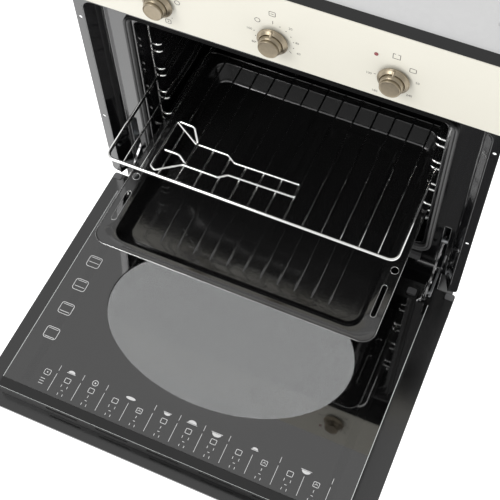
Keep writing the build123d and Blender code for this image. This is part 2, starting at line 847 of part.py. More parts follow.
def handle_bar():
    """The round handle bar under the open door."""
    z = handle_z
    bar = rod_x(-handle_half, handle_half, handle_y, z, handle_r)
    bar = fillet(bar.edges().filter_by(GeomType.CIRCLE), handle_r * 0.4)
    for side in (-1, 1):
        bar -= rod_z(side * handle_post_x, handle_y, z, z + handle_r + 1, handle_post_r - 1.5)
    return bar


def handle_posts():
    """Turned posts between the door and the bar, each with a spigot in the bar."""
    z = handle_z
    posts = []
    for side in (-1, 1):
        x = side * handle_post_x
        post = rod_z(x, handle_y, z + handle_r - 0.5, outer_panel_bottom_z, handle_post_r)
        post -= rod_x(x - 20, x + 20, handle_y, z, handle_r + 0.02)
        post += rod_z(x, handle_y, z + 0.5, z + handle_r + 1, handle_post_r - 1.55)
        post += rod_z(x, handle_y, outer_panel_bottom_z - handle_foot_t, outer_panel_bottom_z, handle_foot_r)
        post -= rod_z(x, handle_y, outer_panel_bottom_z - 14, outer_panel_bottom_z + 1, screw_r)
        posts.append(post)
    return Compound(posts)


def handle_screws():
    """Screws from inside the door into the handle posts."""
    screws = []
    for side in (-1, 1):
        x = side * handle_post_x
        shank = rod_z(x, handle_y, outer_panel_bottom_z - 13, hinge_z + 0.5, screw_r - 0.03)
        head = rod_z(x, handle_y, hinge_z, hinge_z + screw_head_t, screw_head_r)
        screws.append(shank + head)
    return Compound(screws)


# Hinges
def door_hinge_plate():
    """The hinge plate inside the door's side channel, bored for both pivots."""
    z0 = profile_bottom_z + plate + 0.1
    top = arm_pivot_z + 4
    far = hinge_y - door_hinge_length
    body = [(far, z0), (far, z0 + 12), (arm_pivot_y - 8, z0 + 17), (arm_pivot_y - 6, top - 2),
            (arm_pivot_y, top), (arm_pivot_y + 6, top - 2), (hinge_y + 2, hinge_z + 6), (hinge_y, z0),
            (hinge_y, hinge_z - 3), (hinge_notch_y + 4, hinge_z - 3), (hinge_notch_y + 4, z0)]
    hinge = plate_yz(body, door_hinge_x, door_hinge_t)
    hinge += rod_x(door_hinge_x, door_hinge_x + door_hinge_t, hinge_y, hinge_z, bracket_nose_r)
    bore_end = door_hinge_x + door_hinge_t + 1
    hinge -= rod_x(door_hinge_x - 1, bore_end, hinge_y, hinge_z, pivot_r + pivot_running)
    pin_end = arm_x + arm_t + 0.8
    hinge += rod_x(door_hinge_x, pin_end, arm_pivot_y, arm_pivot_z, pivot_r)
    hinge += rod_x(door_hinge_x - 1.5, door_hinge_x, arm_pivot_y, arm_pivot_z, pivot_r + 1)
    return hinge


def check_arm():
    """The steel arm that runs from the door through the slot in the frame."""
    end_y = arm_pivot_y + arm_reach
    end_z = arm_pivot_z + arm_rise
    path = Line((arm_x, arm_pivot_y, arm_pivot_z), (arm_x, end_y, end_z))
    slope = path % 0
    side = Vector(0, -slope.Z, slope.Y) * arm_half_height
    start = path @ 0
    end = path @ 1
    tip = end + slope * 6
    corners = [start - side, end - side, tip - side / 2, tip + side / 2, end + side, start + side]
    arm = plate_yz([(c.Y, c.Z) for c in corners], arm_x, arm_t)
    arm += rod_x(arm_x, arm_x + arm_t, arm_pivot_y, arm_pivot_z, arm_half_height)
    arm -= rod_x(arm_x - 1, arm_x + arm_t + 1, arm_pivot_y, arm_pivot_z, pivot_r + pivot_running)
    return arm


def hinge_receiver():
    """The channel behind the frame that takes the arm, with its roller, the hinge bracket and pivot pin."""
    front = recess_back_y + gap
    back = front + receiver_depth
    outer = block(receiver_inner, receiver_outer, front, back, receiver_bottom_z, receiver_top_z)
    hollow = block(receiver_inner + plate, receiver_outer - plate, front - 1, back - plate,
                   receiver_bottom_z + plate, receiver_top_z - plate)
    channel = outer - hollow
    low = hinge_z - bracket_nose_r
    end = front + bracket_length
    bracket = block(bracket_x, bracket_x + bracket_t, hinge_y, end, low, hinge_z + bracket_nose_r)
    foot = block(bracket_x, bracket_x + bracket_t, front, end, receiver_bottom_z + plate, low)
    nose = rod_x(bracket_x, bracket_x + bracket_t, hinge_y, hinge_z, bracket_nose_r)
    pin = rod_x(door_hinge_x - 1.0, bracket_x + bracket_t, hinge_y, hinge_z, pivot_r)
    roller = rod_x(receiver_inner + plate / 2, receiver_outer - plate / 2, roller_y, roller_z, roller_r)
    return channel + bracket + foot + nose + pin + roller


# Control panel
def panel_fascia():
    """The cream front sheet, with holes for three spindles and the lamp."""
    fascia = block(-front_half, front_half, panel_face_y, panel_face_y + plate, panel_bottom_z, front_height)
    fascia = fillet(fascia.faces().sort_by(Axis.Y)[0].edges(), plate * 0.4)
    before = panel_face_y - 1
    behind = panel_face_y + plate + 1
    for side in (-1, 0, 1):
        fascia -= rod_y(side * knob_pitch, before, behind, knob_z, spindle_hole_r)
    fascia -= rod_y(lamp_x, before, behind, lamp_z, lamp_r)
    return fascia


def panel_support():
    """The dark folded channel behind the fascia; its top edge shows as a dark strip."""
    front = panel_face_y + plate + 0.1
    back = control_back_y
    half = front_half - 1
    top = front_height
    low = panel_bottom_z + gap
    support = block(-half, half, front, back, top - plate, top)
    support += block(-half, half, back - plate, back, frame_top_z + 1, top)
    for side in (-1, 1):
        support += block(side * half, side * (half - plate), front, -gap, low, top)
        support += block(side * half, side * (half - plate), -gap - 0.01, back, frame_top_z + 1, top)
    support += block(-half, half, front, -gap, low, low + plate)
    for side in (-1, 0, 1):
        support -= rod_y(side * knob_pitch, back - plate - 1, back + 1, knob_z, spindle_hole_r + 2)
    support -= rod_y(lamp_x, back - plate - 1, back + 1, lamp_z, lamp_r + 0.1)
    return support


def knob_profile(y0):
    """Half the section of a stepped control knob: radius against distance from its back."""
    tip = knob_length
    bore = spindle_bore_r
    section = [
        (bore, 0), (skirt_r - 0.8, 0), (skirt_r, 0.8), (skirt_r, skirt_t - 1.4),
        (skirt_r - 0.9, skirt_t - 0.6), (neck_r + 1.0, skirt_t + 1.2), (neck_r, skirt_t + 0.9),
        (neck_r, skirt_t + 1.6), (waist_r, tip - 5.6),
        (cap_r, tip - 4.6), (cap_r, tip - 3.8), (cap_r - 0.8, tip - 3.2), (cap_r - 0.3, tip - 2.0),
        (cap_r - 0.3, tip - 0.7), (cap_r - 1.0, tip), (cap_r - 1.9, tip), (cap_r - 2.3, tip - 0.8),
        (0, tip - 0.8), (0, tip - knob_cap_t), (bore, tip - knob_cap_t),
    ]
    outline = Polyline(*[(r, y0 - d, 0) for r, d in section], close=True)
    return make_face(outline)


def knob(x):
    """A control knob with a raised pointer rib over its skirt and neck."""
    y0 = knob_back_y
    body = revolve(knob_profile(y0), Axis.Y)
    rib_front = y0 - skirt_t - 4.5
    rib = block(-rib_half_w, rib_half_w, rib_front, y0 - 1.2, waist_r - 1, skirt_r - 0.9)
    rib = chamfer(rib.edges().filter_by(Axis.X).group_by(Axis.Z)[-1].group_by(Axis.Y)[0], 4.0)
    return Pos(x, 0, knob_z) * (body + rib)


def spindle(x, y_back):
    """A round control spindle from its knob back into the control behind the panel."""
    front = knob_back_y - knob_length + knob_cap_t + rest_clearance
    return rod_y(x, front, y_back, knob_z, spindle_r)


def control_body(x, width, height, depth, bore):
    """The housing of a control behind the panel, bored for its spindle."""
    front = control_back_y + 0.1
    body = rounded_block(x - width / 2, x + width / 2, front, front + depth, knob_z - height / 2,
                         knob_z + height / 2, 4, Axis.Y)
    neck = rod_y(x, control_back_y - plate - 2, front + 1, knob_z, spindle_hole_r + 1.5)
    return body + neck - rod_y(x, control_back_y - plate - 3, front + depth - 4, knob_z, bore)


def timer_case():
    """The timer's housing behind the middle knob."""
    return control_body(0, timer_size, timer_size, timer_depth, spindle_bore_r)


def selector_switch():
    """The selector's housing behind the right knob."""
    return control_body(knob_pitch, selector_size, selector_size, selector_depth, spindle_bore_r)


def tap_plug():
    """The turning plug of the gas tap, hollow so that the spindle can be pushed in."""
    x = -knob_pitch
    outer = rod_y(x, tap_plug_front, tap_plug_back, knob_z, tap_plug_r)
    return outer - rod_y(x, tap_plug_front - 1, tap_plug_back - 3, knob_z, spindle_bore_r)


def panel_lamp():
    """The small red signal lamp in the panel, with its stem through the channel."""
    lens = rod_y(lamp_x, panel_face_y - 0.6, control_back_y + 8, lamp_z, lamp_r - 0.05)
    return lens + rod_y(lamp_x, control_back_y, control_back_y + 14, lamp_z, lamp_r + lamp_collar)


# Gas way
def gas_inlet():
    """The threaded inlet at the back, with its collar and a bore."""
    back = casing_back_y
    inlet = rod_y(inlet_x, back, back + inlet_length, inlet_z, inlet_r)
    inlet += rod_y(inlet_x, back - sheet - 5, back - sheet, inlet_z, inlet_r + 4)
    inlet += rod_y(inlet_x, back - sheet - 1, back + 1, inlet_z, inlet_r - 0.5)
    return inlet - rod_y(inlet_x, back - 8, back + inlet_length + 1, inlet_z, inlet_bore_r)


def supply_pipe():
    """The pipe from the inlet to the gas tap."""
    tap_back = tap_back_y
    port_x = tap_port - knob_pitch
    points = [
        (inlet_x, casing_back_y - sheet - 5, inlet_z), (inlet_x, tap_back + 60, inlet_z),
        (port_x, tap_back + 60, knob_z + 8), (port_x, tap_back, knob_z + 8),
    ]
    return bent_wire(points, gas_pipe_r, 14)


def burner_pipe():
    """The pipe from the tap, down between casing and wool, ending in the burner's brass jet."""
    side_x = -(casing_half - sheet - gas_pipe_r - 2)
    low = burner_pipe_z
    port_x = -knob_pitch - tap_port
    port_z = knob_z - 8
    points = [
        (port_x, tap_back_y, port_z), (port_x, burner_middle_y, port_z), (side_x, burner_middle_y, port_z),
        (side_x, burner_middle_y, low), (0, burner_middle_y, low), (0, burner_feed_y, low),
        (0, burner_feed_y, low + 22),
    ]
    jet = rod_z(0, burner_feed_y, low + 20, low + 30, 6.5)
    return bent_wire(points, gas_pipe_r, 10) + jet


def burner():
    """A tubular burner under the floor plate, fed from below through the liner."""
    z = burner_z
    front = burner_front_y
    back = burner_back_y
    tube = rod_y(0, front, back, z, burner_r)
    side_front = front + burner_side_shorter
    side_back = back - burner_side_shorter
    for side in (-1, 1):
        tube += rod_y(side * burner_side_x, side_front, side_back, z, burner_r)
    tube += rod_x(-burner_side_x, burner_side_x, burner_middle_y, z, burner_r - 1)
    feed_low = burner_pipe_z + 30.2
    tube += rod_z(0, burner_feed_y, feed_low, z, burner_feed_r)
    tube -= rod_z(0, burner_feed_y, feed_low - 1, feed_low + 8, gas_pipe_r)
    for y in (front + burner_foot_inset, back - burner_foot_inset):
        tube += block(-6, 6, y - 4, y + 4, cavity_bottom_z, z)
    return tube


def flame_probe():
    """The thermocouple and spark electrode beside the burner, on one small bracket."""
    low = cavity_bottom_z
    y = burner_middle_y + probe_offset
    bracket = block(probe_x - 13, probe_x + 13, y - plate, y + plate, low, burner_z + 6)
    bracket += rod_y(probe_x - 6, y - 12, y + 12, burner_z, 1.8)
    return bracket + rod_y(probe_x + 6, y - 12, y + 12, burner_z, 2.6)


def grill_element():
    """The heating loop under the cavity's ceiling, with two terminals through the back wall."""
    x = grill_terminal_x
    z = grill_z
    end = cavity_back_y + 22
    front = grill_front_y
    back = grill_back_y
    turn = grill_back_y - grill_return
    right = [(x, end, z), (x, back, z), (grill_half, back, z), (grill_half, front, z),
             (grill_inner_x, front, z), (grill_inner_x, turn, z)]
    left = [(-x_right, y, z) for x_right, y, z in reversed(right)]
    return bent_wire(right + left, grill_terminal_r, 9)


def grill_clips():
    """Clips that hang the heating loop from the ceiling."""
    clips = []
    front = grill_front_y + grill_clip_from_front
    for side in (-1, 1):
        x = side * grill_half
        clip = block(x - 4, x + 4, front, front + 6, grill_z - 7, cavity_top_z)
        clips.append(clip - rod_y(x, front - 1, front + 7, grill_z, grill_terminal_r + rest_clearance))
    return Compound(clips)


def lamp_holder():
    """The lamp's holder, behind the cavity's back wall."""
    front = cavity_back_y + sheet
    holder = rod_y(lamp_hole_x, front, front + 30, lamp_hole_z, lamp_body_r)
    return holder - rod_y(lamp_hole_x, front - 1, front + 26, lamp_hole_z, lamp_hole_r)


def lamp_glass():
    """The screw-in glass cover of the cavity lamp."""
    front = cavity_back_y - 12
    cover = rod_y(lamp_hole_x, front, cavity_back_y + sheet + 12, lamp_hole_z, lamp_hole_r - 0.4)
    cover += rod_y(lamp_hole_x, cavity_back_y - 4, cavity_back_y, lamp_hole_z, lamp_hole_r + 5)
    cover = fillet(cover.edges().filter_by(GeomType.CIRCLE).sort_by(Axis.Y)[0], 6)
    bore_r = lamp_hole_r - lamp_glass_t
    return cover - rod_y(lamp_hole_x, front + 3, cavity_back_y + sheet + 13, lamp_hole_z, bore_r)


def lamp_bulb():
    """The cavity bulb on its cap."""
    cap = rod_y(lamp_hole_x, cavity_back_y + sheet + 13, cavity_back_y + sheet + 26, lamp_hole_z, 9)
    neck = rod_y(lamp_hole_x, cavity_back_y + 6, cavity_back_y + sheet + 14, lamp_hole_z, 7)
    return cap + neck + Pos(lamp_hole_x, cavity_back_y + 3, lamp_hole_z) * Sphere(bulb_r)


def flue_duct():
    """The duct from the cavity's ceiling up to the top cover."""
    low = cavity_top_z + sheet
    half = flue_half + plate
    outer = block(-half, half, flue_front_y - plate, flue_back_y + plate, low, casing_top_z - sheet)
    return outer - block(-flue_half, flue_half, flue_front_y, flue_back_y, low - 1, casing_top_z)


# Casing
def casing_wrap():
    """One folded sheet: the base, whose underside the oven rests on, and both side walls."""
    back = casing_back_y - sheet - 0.1
    front = recess_back_y + 0.1
    wrap = block(-casing_half, casing_half, -2, back, 0, sheet)
    for side in (-1, 1):
        outer = side * casing_half
        wrap += block(outer, outer - side * sheet, front, back, 0, casing_top_z - sheet)
        wrap = fillet(wrap.edges().filter_by(Axis.Y).filter_by_position(Axis.X, outer - 0.01, outer + 0.01)
                      .group_by(Axis.Z)[0], sheet * 0.8)
    for step in range(-3, 4):
        for row in range(3):
            x = step * base_vent_pitch
            y = 120 + row * 20
            wrap -= block(x - base_vent_w / 2, x + base_vent_w / 2, y, y + 6, -1, sheet + 1)
    return wrap


def top_cover():
    """The light top cover, with a vent over the flue."""
    front = control_back_y + rest_clearance
    cover = block(-casing_half, casing_half, front, casing_back_y, casing_top_z - sheet, casing_top_z)
    for step in range(-3, 4):
        x = step * 12
        cover -= block(x - 3, x + 3, flue_front_y + 4, flue_back_y - 4, casing_top_z - 3, casing_top_z + 1)
    return cover


def rear_cover():
    """The galvanised back, with holes for the gas inlet, the terminal block and rows of louvres."""
    top = casing_top_z - sheet - rest_clearance
    back = casing_back_y
    cover = block(-casing_half, casing_half, back - sheet, back, sheet + rest_clearance, top)
    cover -= rod_y(inlet_x, back - 3, back + 1, inlet_z, inlet_r)
    cover -= block(terminal_x - terminal_half_w, terminal_x + terminal_half_w, back - 3, back + 1,
                   terminal_z - terminal_half_h, terminal_z + terminal_half_h)
    for row in range(4):
        for step in range(-3, 4):
            x = step * rear_vent_pitch
            z = rear_vent_z + row * 14
            cover -= block(x - rear_vent_w / 2, x + rear_vent_w / 2, back - 3, back + 1, z, z + 4)
    return cover


def bottom_trim():
    """The vent trim below the door, with a row of slots."""
    front = trim_front_y
    half = front_half - 1
    low = bottom_trim_low_z
    base = sheet + rest_clearance
    trim = block(-half, half, front, front + plate, low, bottom_trim_top_z)
    trim += block(-casing_half, casing_half, front, -1, base, low + plate)
    trim += block(-casing_half, casing_half, -2, recess_depth, base, base + plate)
    slots = int((half - bottom_slot_w / 2) / bottom_slot_pitch)
    slot_low = (low + bottom_trim_top_z - bottom_slot_h) / 2
    for step in range(-slots, slots + 1):
        x = step * bottom_slot_pitch
        slot = block(x - bottom_slot_w / 2, x + bottom_slot_w / 2, front - 1, front + plate + 1,
                     slot_low, slot_low + bottom_slot_h)
        trim -= fillet(slot.edges().filter_by(Axis.Y), bottom_slot_h / 2 - 2 * gap)
    return trim


def terminal_block():
    """The electric terminal block in the back, with its cable gland facing out."""
    x = terminal_x
    z = terminal_z
    back = casing_back_y
    half_w = terminal_half_w - gap
    half_h = terminal_half_h - gap
    rim_w = terminal_half_w + terminal_rim
    rim_h = terminal_half_h + terminal_rim
    body = block(x - half_w, x + half_w, back - 22, back - gap, z - half_h, z + half_h)
    body += block(x - rim_w, x + rim_w, back - 22, back - sheet - rest_clearance, z - rim_h, z + rim_h)
    gland = rod_y(x, back - 1, back + 12, z, gland_r)
    return body + gland - rod_y(x, back - 14, back + 13, z, gland_bore_r)


def tap_body():
    """The gas tap's body, with a chamber for its plug."""
    x = -knob_pitch
    body = control_body(x, tap_width, tap_height, tap_depth, spindle_r + 0.6)
    return body - rod_y(x, tap_plug_front - 0.3, tap_plug_back + 0.3, knob_z, tap_plug_r + 0.05)


parts = {
    "front_frame": front_frame,
    "door_gasket": gasket,
    "frame_buffers": frame_buffers,
    "cavity_liner": cavity_liner,
    "floor_plate": floor_plate,
    "insulation_blanket": insulation_blanket,
    "ladder_right": shelf_ladder,
    "ladder_left": lambda: mirrored(shelf_ladder()),
    "ladder_screws": ladder_screws,
    "oven_rack": oven_rack,
    "baking_tray": baking_tray,
    "lifter_tool": lifter_tool,
    "door_outer_panel": door_outer_panel,
    "oval_window_glass": oval_window_glass,
    "door_profile_right": lambda: door_side_profile(1),
    "door_profile_left": lambda: door_side_profile(-1),
    "door_bottom_rail": door_bottom_rail,
    "door_top_trim": door_top_trim,
    "door_inner_glass": inner_glass,
    "door_middle_glass": middle_glass,
    "glass_seals": glass_seals,
    "door_corner_pads": corner_pads,
    "handle_bar": handle_bar,
    "handle_posts": handle_posts,
    "handle_screws": handle_screws,
    "hinge_plate_right": door_hinge_plate,
    "hinge_plate_left": lambda: mirrored(door_hinge_plate()),
    "check_arm_right": check_arm,
    "check_arm_left": lambda: mirrored(check_arm()),
    "hinge_receiver_right": hinge_receiver,
    "hinge_receiver_left": lambda: mirrored(hinge_receiver()),
    "panel_fascia": panel_fascia,
    "panel_support": panel_support,
    "panel_lamp": panel_lamp,
    "left_knob": lambda: knob(-knob_pitch),
    "middle_knob": lambda: knob(0),
    "right_knob": lambda: knob(knob_pitch),
    "tap_spindle": lambda: spindle(-knob_pitch, tap_spindle_back),
    "tap_plug": tap_plug,
    "gas_tap": tap_body,
    "timer_spindle": lambda: spindle(0, control_back_y + timer_depth - control_end_wall),
    "timer_case": timer_case,
    "selector_spindle": lambda: spindle(knob_pitch, control_back_y + selector_depth - control_end_wall),
    "selector_switch": selector_switch,
    "gas_inlet": gas_inlet,
    "supply_pipe": supply_pipe,
    "burner_pipe": burner_pipe,
    "burner": burner,
    "flame_probe": flame_probe,
    "grill_element": grill_element,
    "grill_clips": grill_clips,
    "lamp_holder": lamp_holder,
    "lamp_glass": lamp_glass,
    "lamp_bulb": lamp_bulb,
    "flue_duct": flue_duct,
    "casing_wrap": casing_wrap,
    "top_cover": top_cover,
    "rear_cover": rear_cover,
    "bottom_trim": bottom_trim,
    "terminal_block": terminal_block,
}

os.makedirs("parts", exist_ok=True)
for name, make in parts.items():
    export_step(make(), f"parts/{name}.step")
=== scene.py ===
"""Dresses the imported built-in gas oven: finishes, bent wire, enamel pressings, prints, light and camera.

Sizes in the classes are in millimetres, as in the part's source. Meshes are written in metres.
"""

import functools
import json
import logging
from dataclasses import dataclass, field
from enum import Enum
from math import cos, pi, radians, sin

import bpy
import numpy as np
from mathutils import Matrix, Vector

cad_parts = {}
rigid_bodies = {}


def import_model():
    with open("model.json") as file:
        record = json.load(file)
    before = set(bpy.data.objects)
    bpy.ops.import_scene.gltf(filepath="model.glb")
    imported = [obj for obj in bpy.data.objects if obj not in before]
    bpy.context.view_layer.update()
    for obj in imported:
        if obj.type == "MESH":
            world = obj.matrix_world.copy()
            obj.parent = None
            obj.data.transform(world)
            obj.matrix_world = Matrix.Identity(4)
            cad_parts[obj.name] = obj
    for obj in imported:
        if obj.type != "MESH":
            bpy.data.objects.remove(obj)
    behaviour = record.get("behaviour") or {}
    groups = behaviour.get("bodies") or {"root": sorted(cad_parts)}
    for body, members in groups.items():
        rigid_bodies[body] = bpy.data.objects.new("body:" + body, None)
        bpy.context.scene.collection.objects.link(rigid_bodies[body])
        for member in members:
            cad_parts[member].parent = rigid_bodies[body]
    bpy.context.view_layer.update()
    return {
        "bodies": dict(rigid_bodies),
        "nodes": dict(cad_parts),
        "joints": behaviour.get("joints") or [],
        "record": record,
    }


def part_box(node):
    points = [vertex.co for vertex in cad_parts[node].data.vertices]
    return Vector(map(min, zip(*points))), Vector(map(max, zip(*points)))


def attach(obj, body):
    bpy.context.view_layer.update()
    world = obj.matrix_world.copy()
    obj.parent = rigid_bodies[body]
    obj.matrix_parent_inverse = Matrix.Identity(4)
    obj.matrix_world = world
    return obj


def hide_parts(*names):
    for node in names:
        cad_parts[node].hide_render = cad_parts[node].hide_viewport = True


LOG = logging.getLogger("oven")
Vec2 = tuple[float, float]
Vec3 = tuple[float, float, float]
MM = 0.001
WELD_REACH = 0.00001
BEVEL_ANGLE = 40.0
DIGIT_SHARE = 0.7
UPWARD: Vec3 = (0.0, 0.0, 1.0)
FORE_AND_AFT: Vec3 = (0.0, 1.0, 0.0)


class Side(Enum):
    """The two mirrored sides of the oven, as the sign of X."""

    LEFT = -1
    RIGHT = 1


class Axis(Enum):
    """The row axes that turned pieces and prints are laid along."""

    X = 0
    Y = 1
    Z = 2


# Shader building


class Signal:
    """A shader socket that can stand in sums."""

    def __init__(self, recipe: "Recipe", socket: bpy.types.NodeSocket) -> None:
        """Keeps the socket and the recipe that it belongs to.

        Args:
            recipe: The material under construction.
            socket: An output socket in that material.
        """
        self.recipe = recipe
        self.socket = socket

    def _join(self, operation: str, first: "Signal | float", second: "Signal | float") -> "Signal":
        """Adds one Math node and returns its result."""
        node = self.recipe.node("ShaderNodeMath", {"operation": operation}, {0: first, 1: second})
        return Signal(self.recipe, node.outputs[0])

    def __add__(self, other: "Signal | float") -> "Signal":
        """The sum."""
        return self._join("ADD", self, other)

    def __radd__(self, other: float) -> "Signal":
        """The sum, reflected."""
        return self._join("ADD", other, self)

    def __sub__(self, other: "Signal | float") -> "Signal":
        """The difference."""
        return self._join("SUBTRACT", self, other)

    def __rsub__(self, other: float) -> "Signal":
        """The difference, reflected."""
        return self._join("SUBTRACT", other, self)

    def __mul__(self, other: "Signal | float") -> "Signal":
        """The product."""
        return self._join("MULTIPLY", self, other)

    def __rmul__(self, other: float) -> "Signal":
        """The product, reflected."""
        return self._join("MULTIPLY", other, self)

    def above(self, level: float) -> "Signal":
        """One where the signal is above a level, else nought."""
        return self._join("GREATER_THAN", self, level)

    def power(self, exponent: float) -> "Signal":
        """The signal raised to a power."""
        return self._join("POWER", self, exponent)


class Recipe:
    """One material's node tree under construction."""

    def __init__(self, name: str) -> None:
        """Starts an empty material.

        Args:
            name: The material's name.
        """
        self.material = bpy.data.materials.new(name)
        self.material.use_nodes = True
        self.tree = self.material.node_tree
        self.tree.nodes.clear()

    def node(self, kind: str, settings: dict, inputs: dict) -> bpy.types.Node:
        """Adds any node.

        Args:
            kind: The node's type name.
            settings: Attributes of the node, set first.
            inputs: Values or links, by socket name or place.

        Returns:
            The new node.
        """
        made = self.tree.nodes.new(kind)
        for name, value in settings.items():
            setattr(made, name, value)
        for key, value in inputs.items():
            if isinstance(value, Signal):
                self.tree.links.new(value.socket, made.inputs[key])
            else:
                made.inputs[key].default_value = value
        return made

    def place(self, stretch: Vec3 = (1.0, 1.0, 1.0)) -> Signal:
        """Object coordinates, squeezed along each axis by a factor.

        Args:
            stretch: The factor of each axis.

        Returns:
            The coordinates.
        """
        where = self.node("ShaderNodeTexCoord", {}, {})
        start = Signal(self, where.outputs["Object"])
        mapped = self.node("ShaderNodeMapping", {}, {"Vector": start, "Scale": stretch})
        return Signal(self, mapped.outputs[0])

    def noise(self, scale: float, detail: float = 3.0, stretch: Vec3 = (1.0, 1.0, 1.0)) -> Signal:
        """Smooth noise from nought to one.

        Args:
            scale: Waves per metre.
            detail: Octaves.
            stretch: Factor by which the coordinates are squeezed along each axis.

        Returns:
            The noise signal.
        """
        inputs = {"Vector": self.place(stretch), "Scale": scale, "Detail": detail}
        made = self.node("ShaderNodeTexNoise", {}, inputs)
        return Signal(self, made.outputs[0])

    def cells(self, scale: float) -> Signal:
        """A random grey for each crystal-like cell.

        Args:
            scale: Cells per metre.

        Returns:
            The grey, from nought to one.
        """
        made = self.node("ShaderNodeTexVoronoi", {}, {"Vector": self.place(), "Scale": scale})
        grey = self.node("ShaderNodeSeparateColor", {}, {0: Signal(self, made.outputs["Color"])})
        return Signal(self, grey.outputs[0])

    def blend(self, share: Signal, first: "Vec3 | Signal", second: Vec3) -> Signal:
        """A colour between two.

        Args:
            share: Nought for the first colour, one for the second.
            first: The first colour, fixed or a signal.
            second: The second colour.

        Returns:
            The mixed colour.
        """
        start = first if isinstance(first, Signal) else (*first, 1.0)
        settings = {"data_type": "RGBA", "clamp_factor": True}
        made = self.node("ShaderNodeMix", settings, {0: share, 6: start, 7: (*second, 1.0)})
        return Signal(self, made.outputs[2])

    def along(self, axis: Axis) -> Signal:
        """One of the three object coordinates.

        Args:
            axis: Which one.

        Returns:
            The coordinate, in metres.
        """
        where = self.node("ShaderNodeTexCoord", {}, {})
        parts = self.node("ShaderNodeSeparateXYZ", {}, {0: Signal(self, where.outputs["Object"])})
        return Signal(self, parts.outputs[axis.value])

    def bump(self, height: Signal) -> Signal:
        """A surface normal raised by a height signal in metres."""
        made = self.node("ShaderNodeBump", {}, {"Height": height, "Distance": 1.0})
        return Signal(self, made.outputs[0])

    def end(self, shader: bpy.types.Node) -> bpy.types.Material:
        """Joins the last shader to the output.

        Args:
            shader: The node whose first output is the surface.

        Returns:
            The finished material.
        """
        out = self.node("ShaderNodeOutputMaterial", {}, {})
        self.tree.links.new(shader.outputs[0], out.inputs[0])
        return self.material


def shade(colour: Vec3, factor: float) -> Vec3:
    """A colour made lighter or darker by a factor, kept under one."""
    return tuple(min(channel * factor, 1.0) for channel in colour)


@dataclass(frozen=True)
class Finish:
    """A solid finish: its colour drifts, its gloss is smeared and its skin has a fine grain."""

    name: str
    colour: Vec3
    roughness: float
    metallic: float = 0.0
    drift: float = 0.08
    drift_scale: float = 9.0
    smear: float = 0.04
    smear_scale: float = 22.0
    grain_scale: float = 420.0
    grain_stretch: Vec3 = (1.0, 1.0, 1.0)
    grain_depth: float = 0.00003
    ior: float = 1.5
    coat: float = 0.0
    coat_roughness: float = 0.03
    tip: float = 0.0

    def relief(self, recipe: Recipe) -> Signal:
        """The height of the skin's grain, in metres, on a plane that rises by the tip along minus Y."""
        grain = recipe.noise(self.grain_scale, 2.0, self.grain_stretch) * self.grain_depth
        return grain - recipe.along(Axis.Y) * self.tip if self.tip else grain

    def pattern(self, recipe: Recipe) -> Signal:
        """Soft clouds, from nought where the colour is darkest to one where it is palest."""
        return recipe.noise(self.drift_scale, 4.0)

    def tone(self, recipe: Recipe) -> Signal:
        """The base colour, which drifts between a darker and a paler one."""
        dark, pale = shade(self.colour, 1.0 - self.drift), shade(self.colour, 1.0 + self.drift)
        return recipe.blend(self.pattern(recipe), dark, pale)

    def surface(self, recipe: Recipe) -> bpy.types.Node:
        """The Principled shader with drift, smear and grain.

        Args:
            recipe: The material under construction.

        Returns:
            The shader node.
        """
        smeared = recipe.noise(self.smear_scale, 3.0) * (2.0 * self.smear) + (self.roughness - self.smear)
        return recipe.node(
            "ShaderNodeBsdfPrincipled",
            {},
            {
                "Base Color": self.tone(recipe),
                "Roughness": smeared,
                "Metallic": self.metallic,
                "IOR": self.ior,
                "Coat Weight": self.coat,
                "Coat Roughness": self.coat_roughness,
                "Normal": recipe.bump(self.relief(recipe)),
            },
        )

    @functools.cache
    def material(self) -> bpy.types.Material:
        """The finish as a Blender material, made once."""
        recipe = Recipe(self.name)
        return recipe.end(self.surface(recipe))


@dataclass(frozen=True)
class Spangled(Finish):
    """Hot-dip galvanised sheet, with its patchwork of crystals."""

    crystal_scale: float = 90.0

    def pattern(self, recipe: Recipe) -> Signal:
        """A grey for each crystal."""
        return recipe.cells(self.crystal_scale)


@dataclass(frozen=True)
class Speckled(Finish):
    """Vitreous enamel with fine pale specks."""

    speck_scale: float = 900.0
    speck_share: float = 0.8
    speck: Vec3 = (0.2, 0.2, 0.2)

    def tone(self, recipe: Recipe) -> Signal:
        """The enamel's colour with sparse specks."""
        share = recipe.noise(self.speck_scale, 1.0).above(self.speck_share)
        return recipe.blend(share, self.colour, self.speck)


@dataclass(frozen=True)
class Patina(Finish):
    """Aged bronze: turned grain, with darker tarnish in patches."""

    tarnish: Vec3 = (0.12, 0.10, 0.07)
    tarnish_scale: float = 160.0
    tarnish_share: float = 0.55

    def tone(self, recipe: Recipe) -> Signal:
        """Bright metal that gives way to tarnish."""
        share = recipe.noise(self.tarnish_scale, 5.0).power(2.0) * self.tarnish_share
        return recipe.blend(share, self.colour, self.tarnish)


@dataclass(frozen=True)
class ShadedAbove(Finish):
    """Rubber with painted shade above a level: its top run, under the panel, is darkened to stand in for
    shade.
    """

    level: float = 0.424
    fade: float = 0.008
    # The painted shade colour that the top run turns to.
    painted_shade: Vec3 = (0.003, 0.003, 0.003)

    def tone(self, recipe: Recipe) -> Signal:
        """The drifting colour, which gives way to the painted shade colour across the fade."""
        share = (recipe.along(Axis.Z) - self.level) * (1 / self.fade)
        return recipe.blend(share, super().tone(recipe), self.painted_shade)


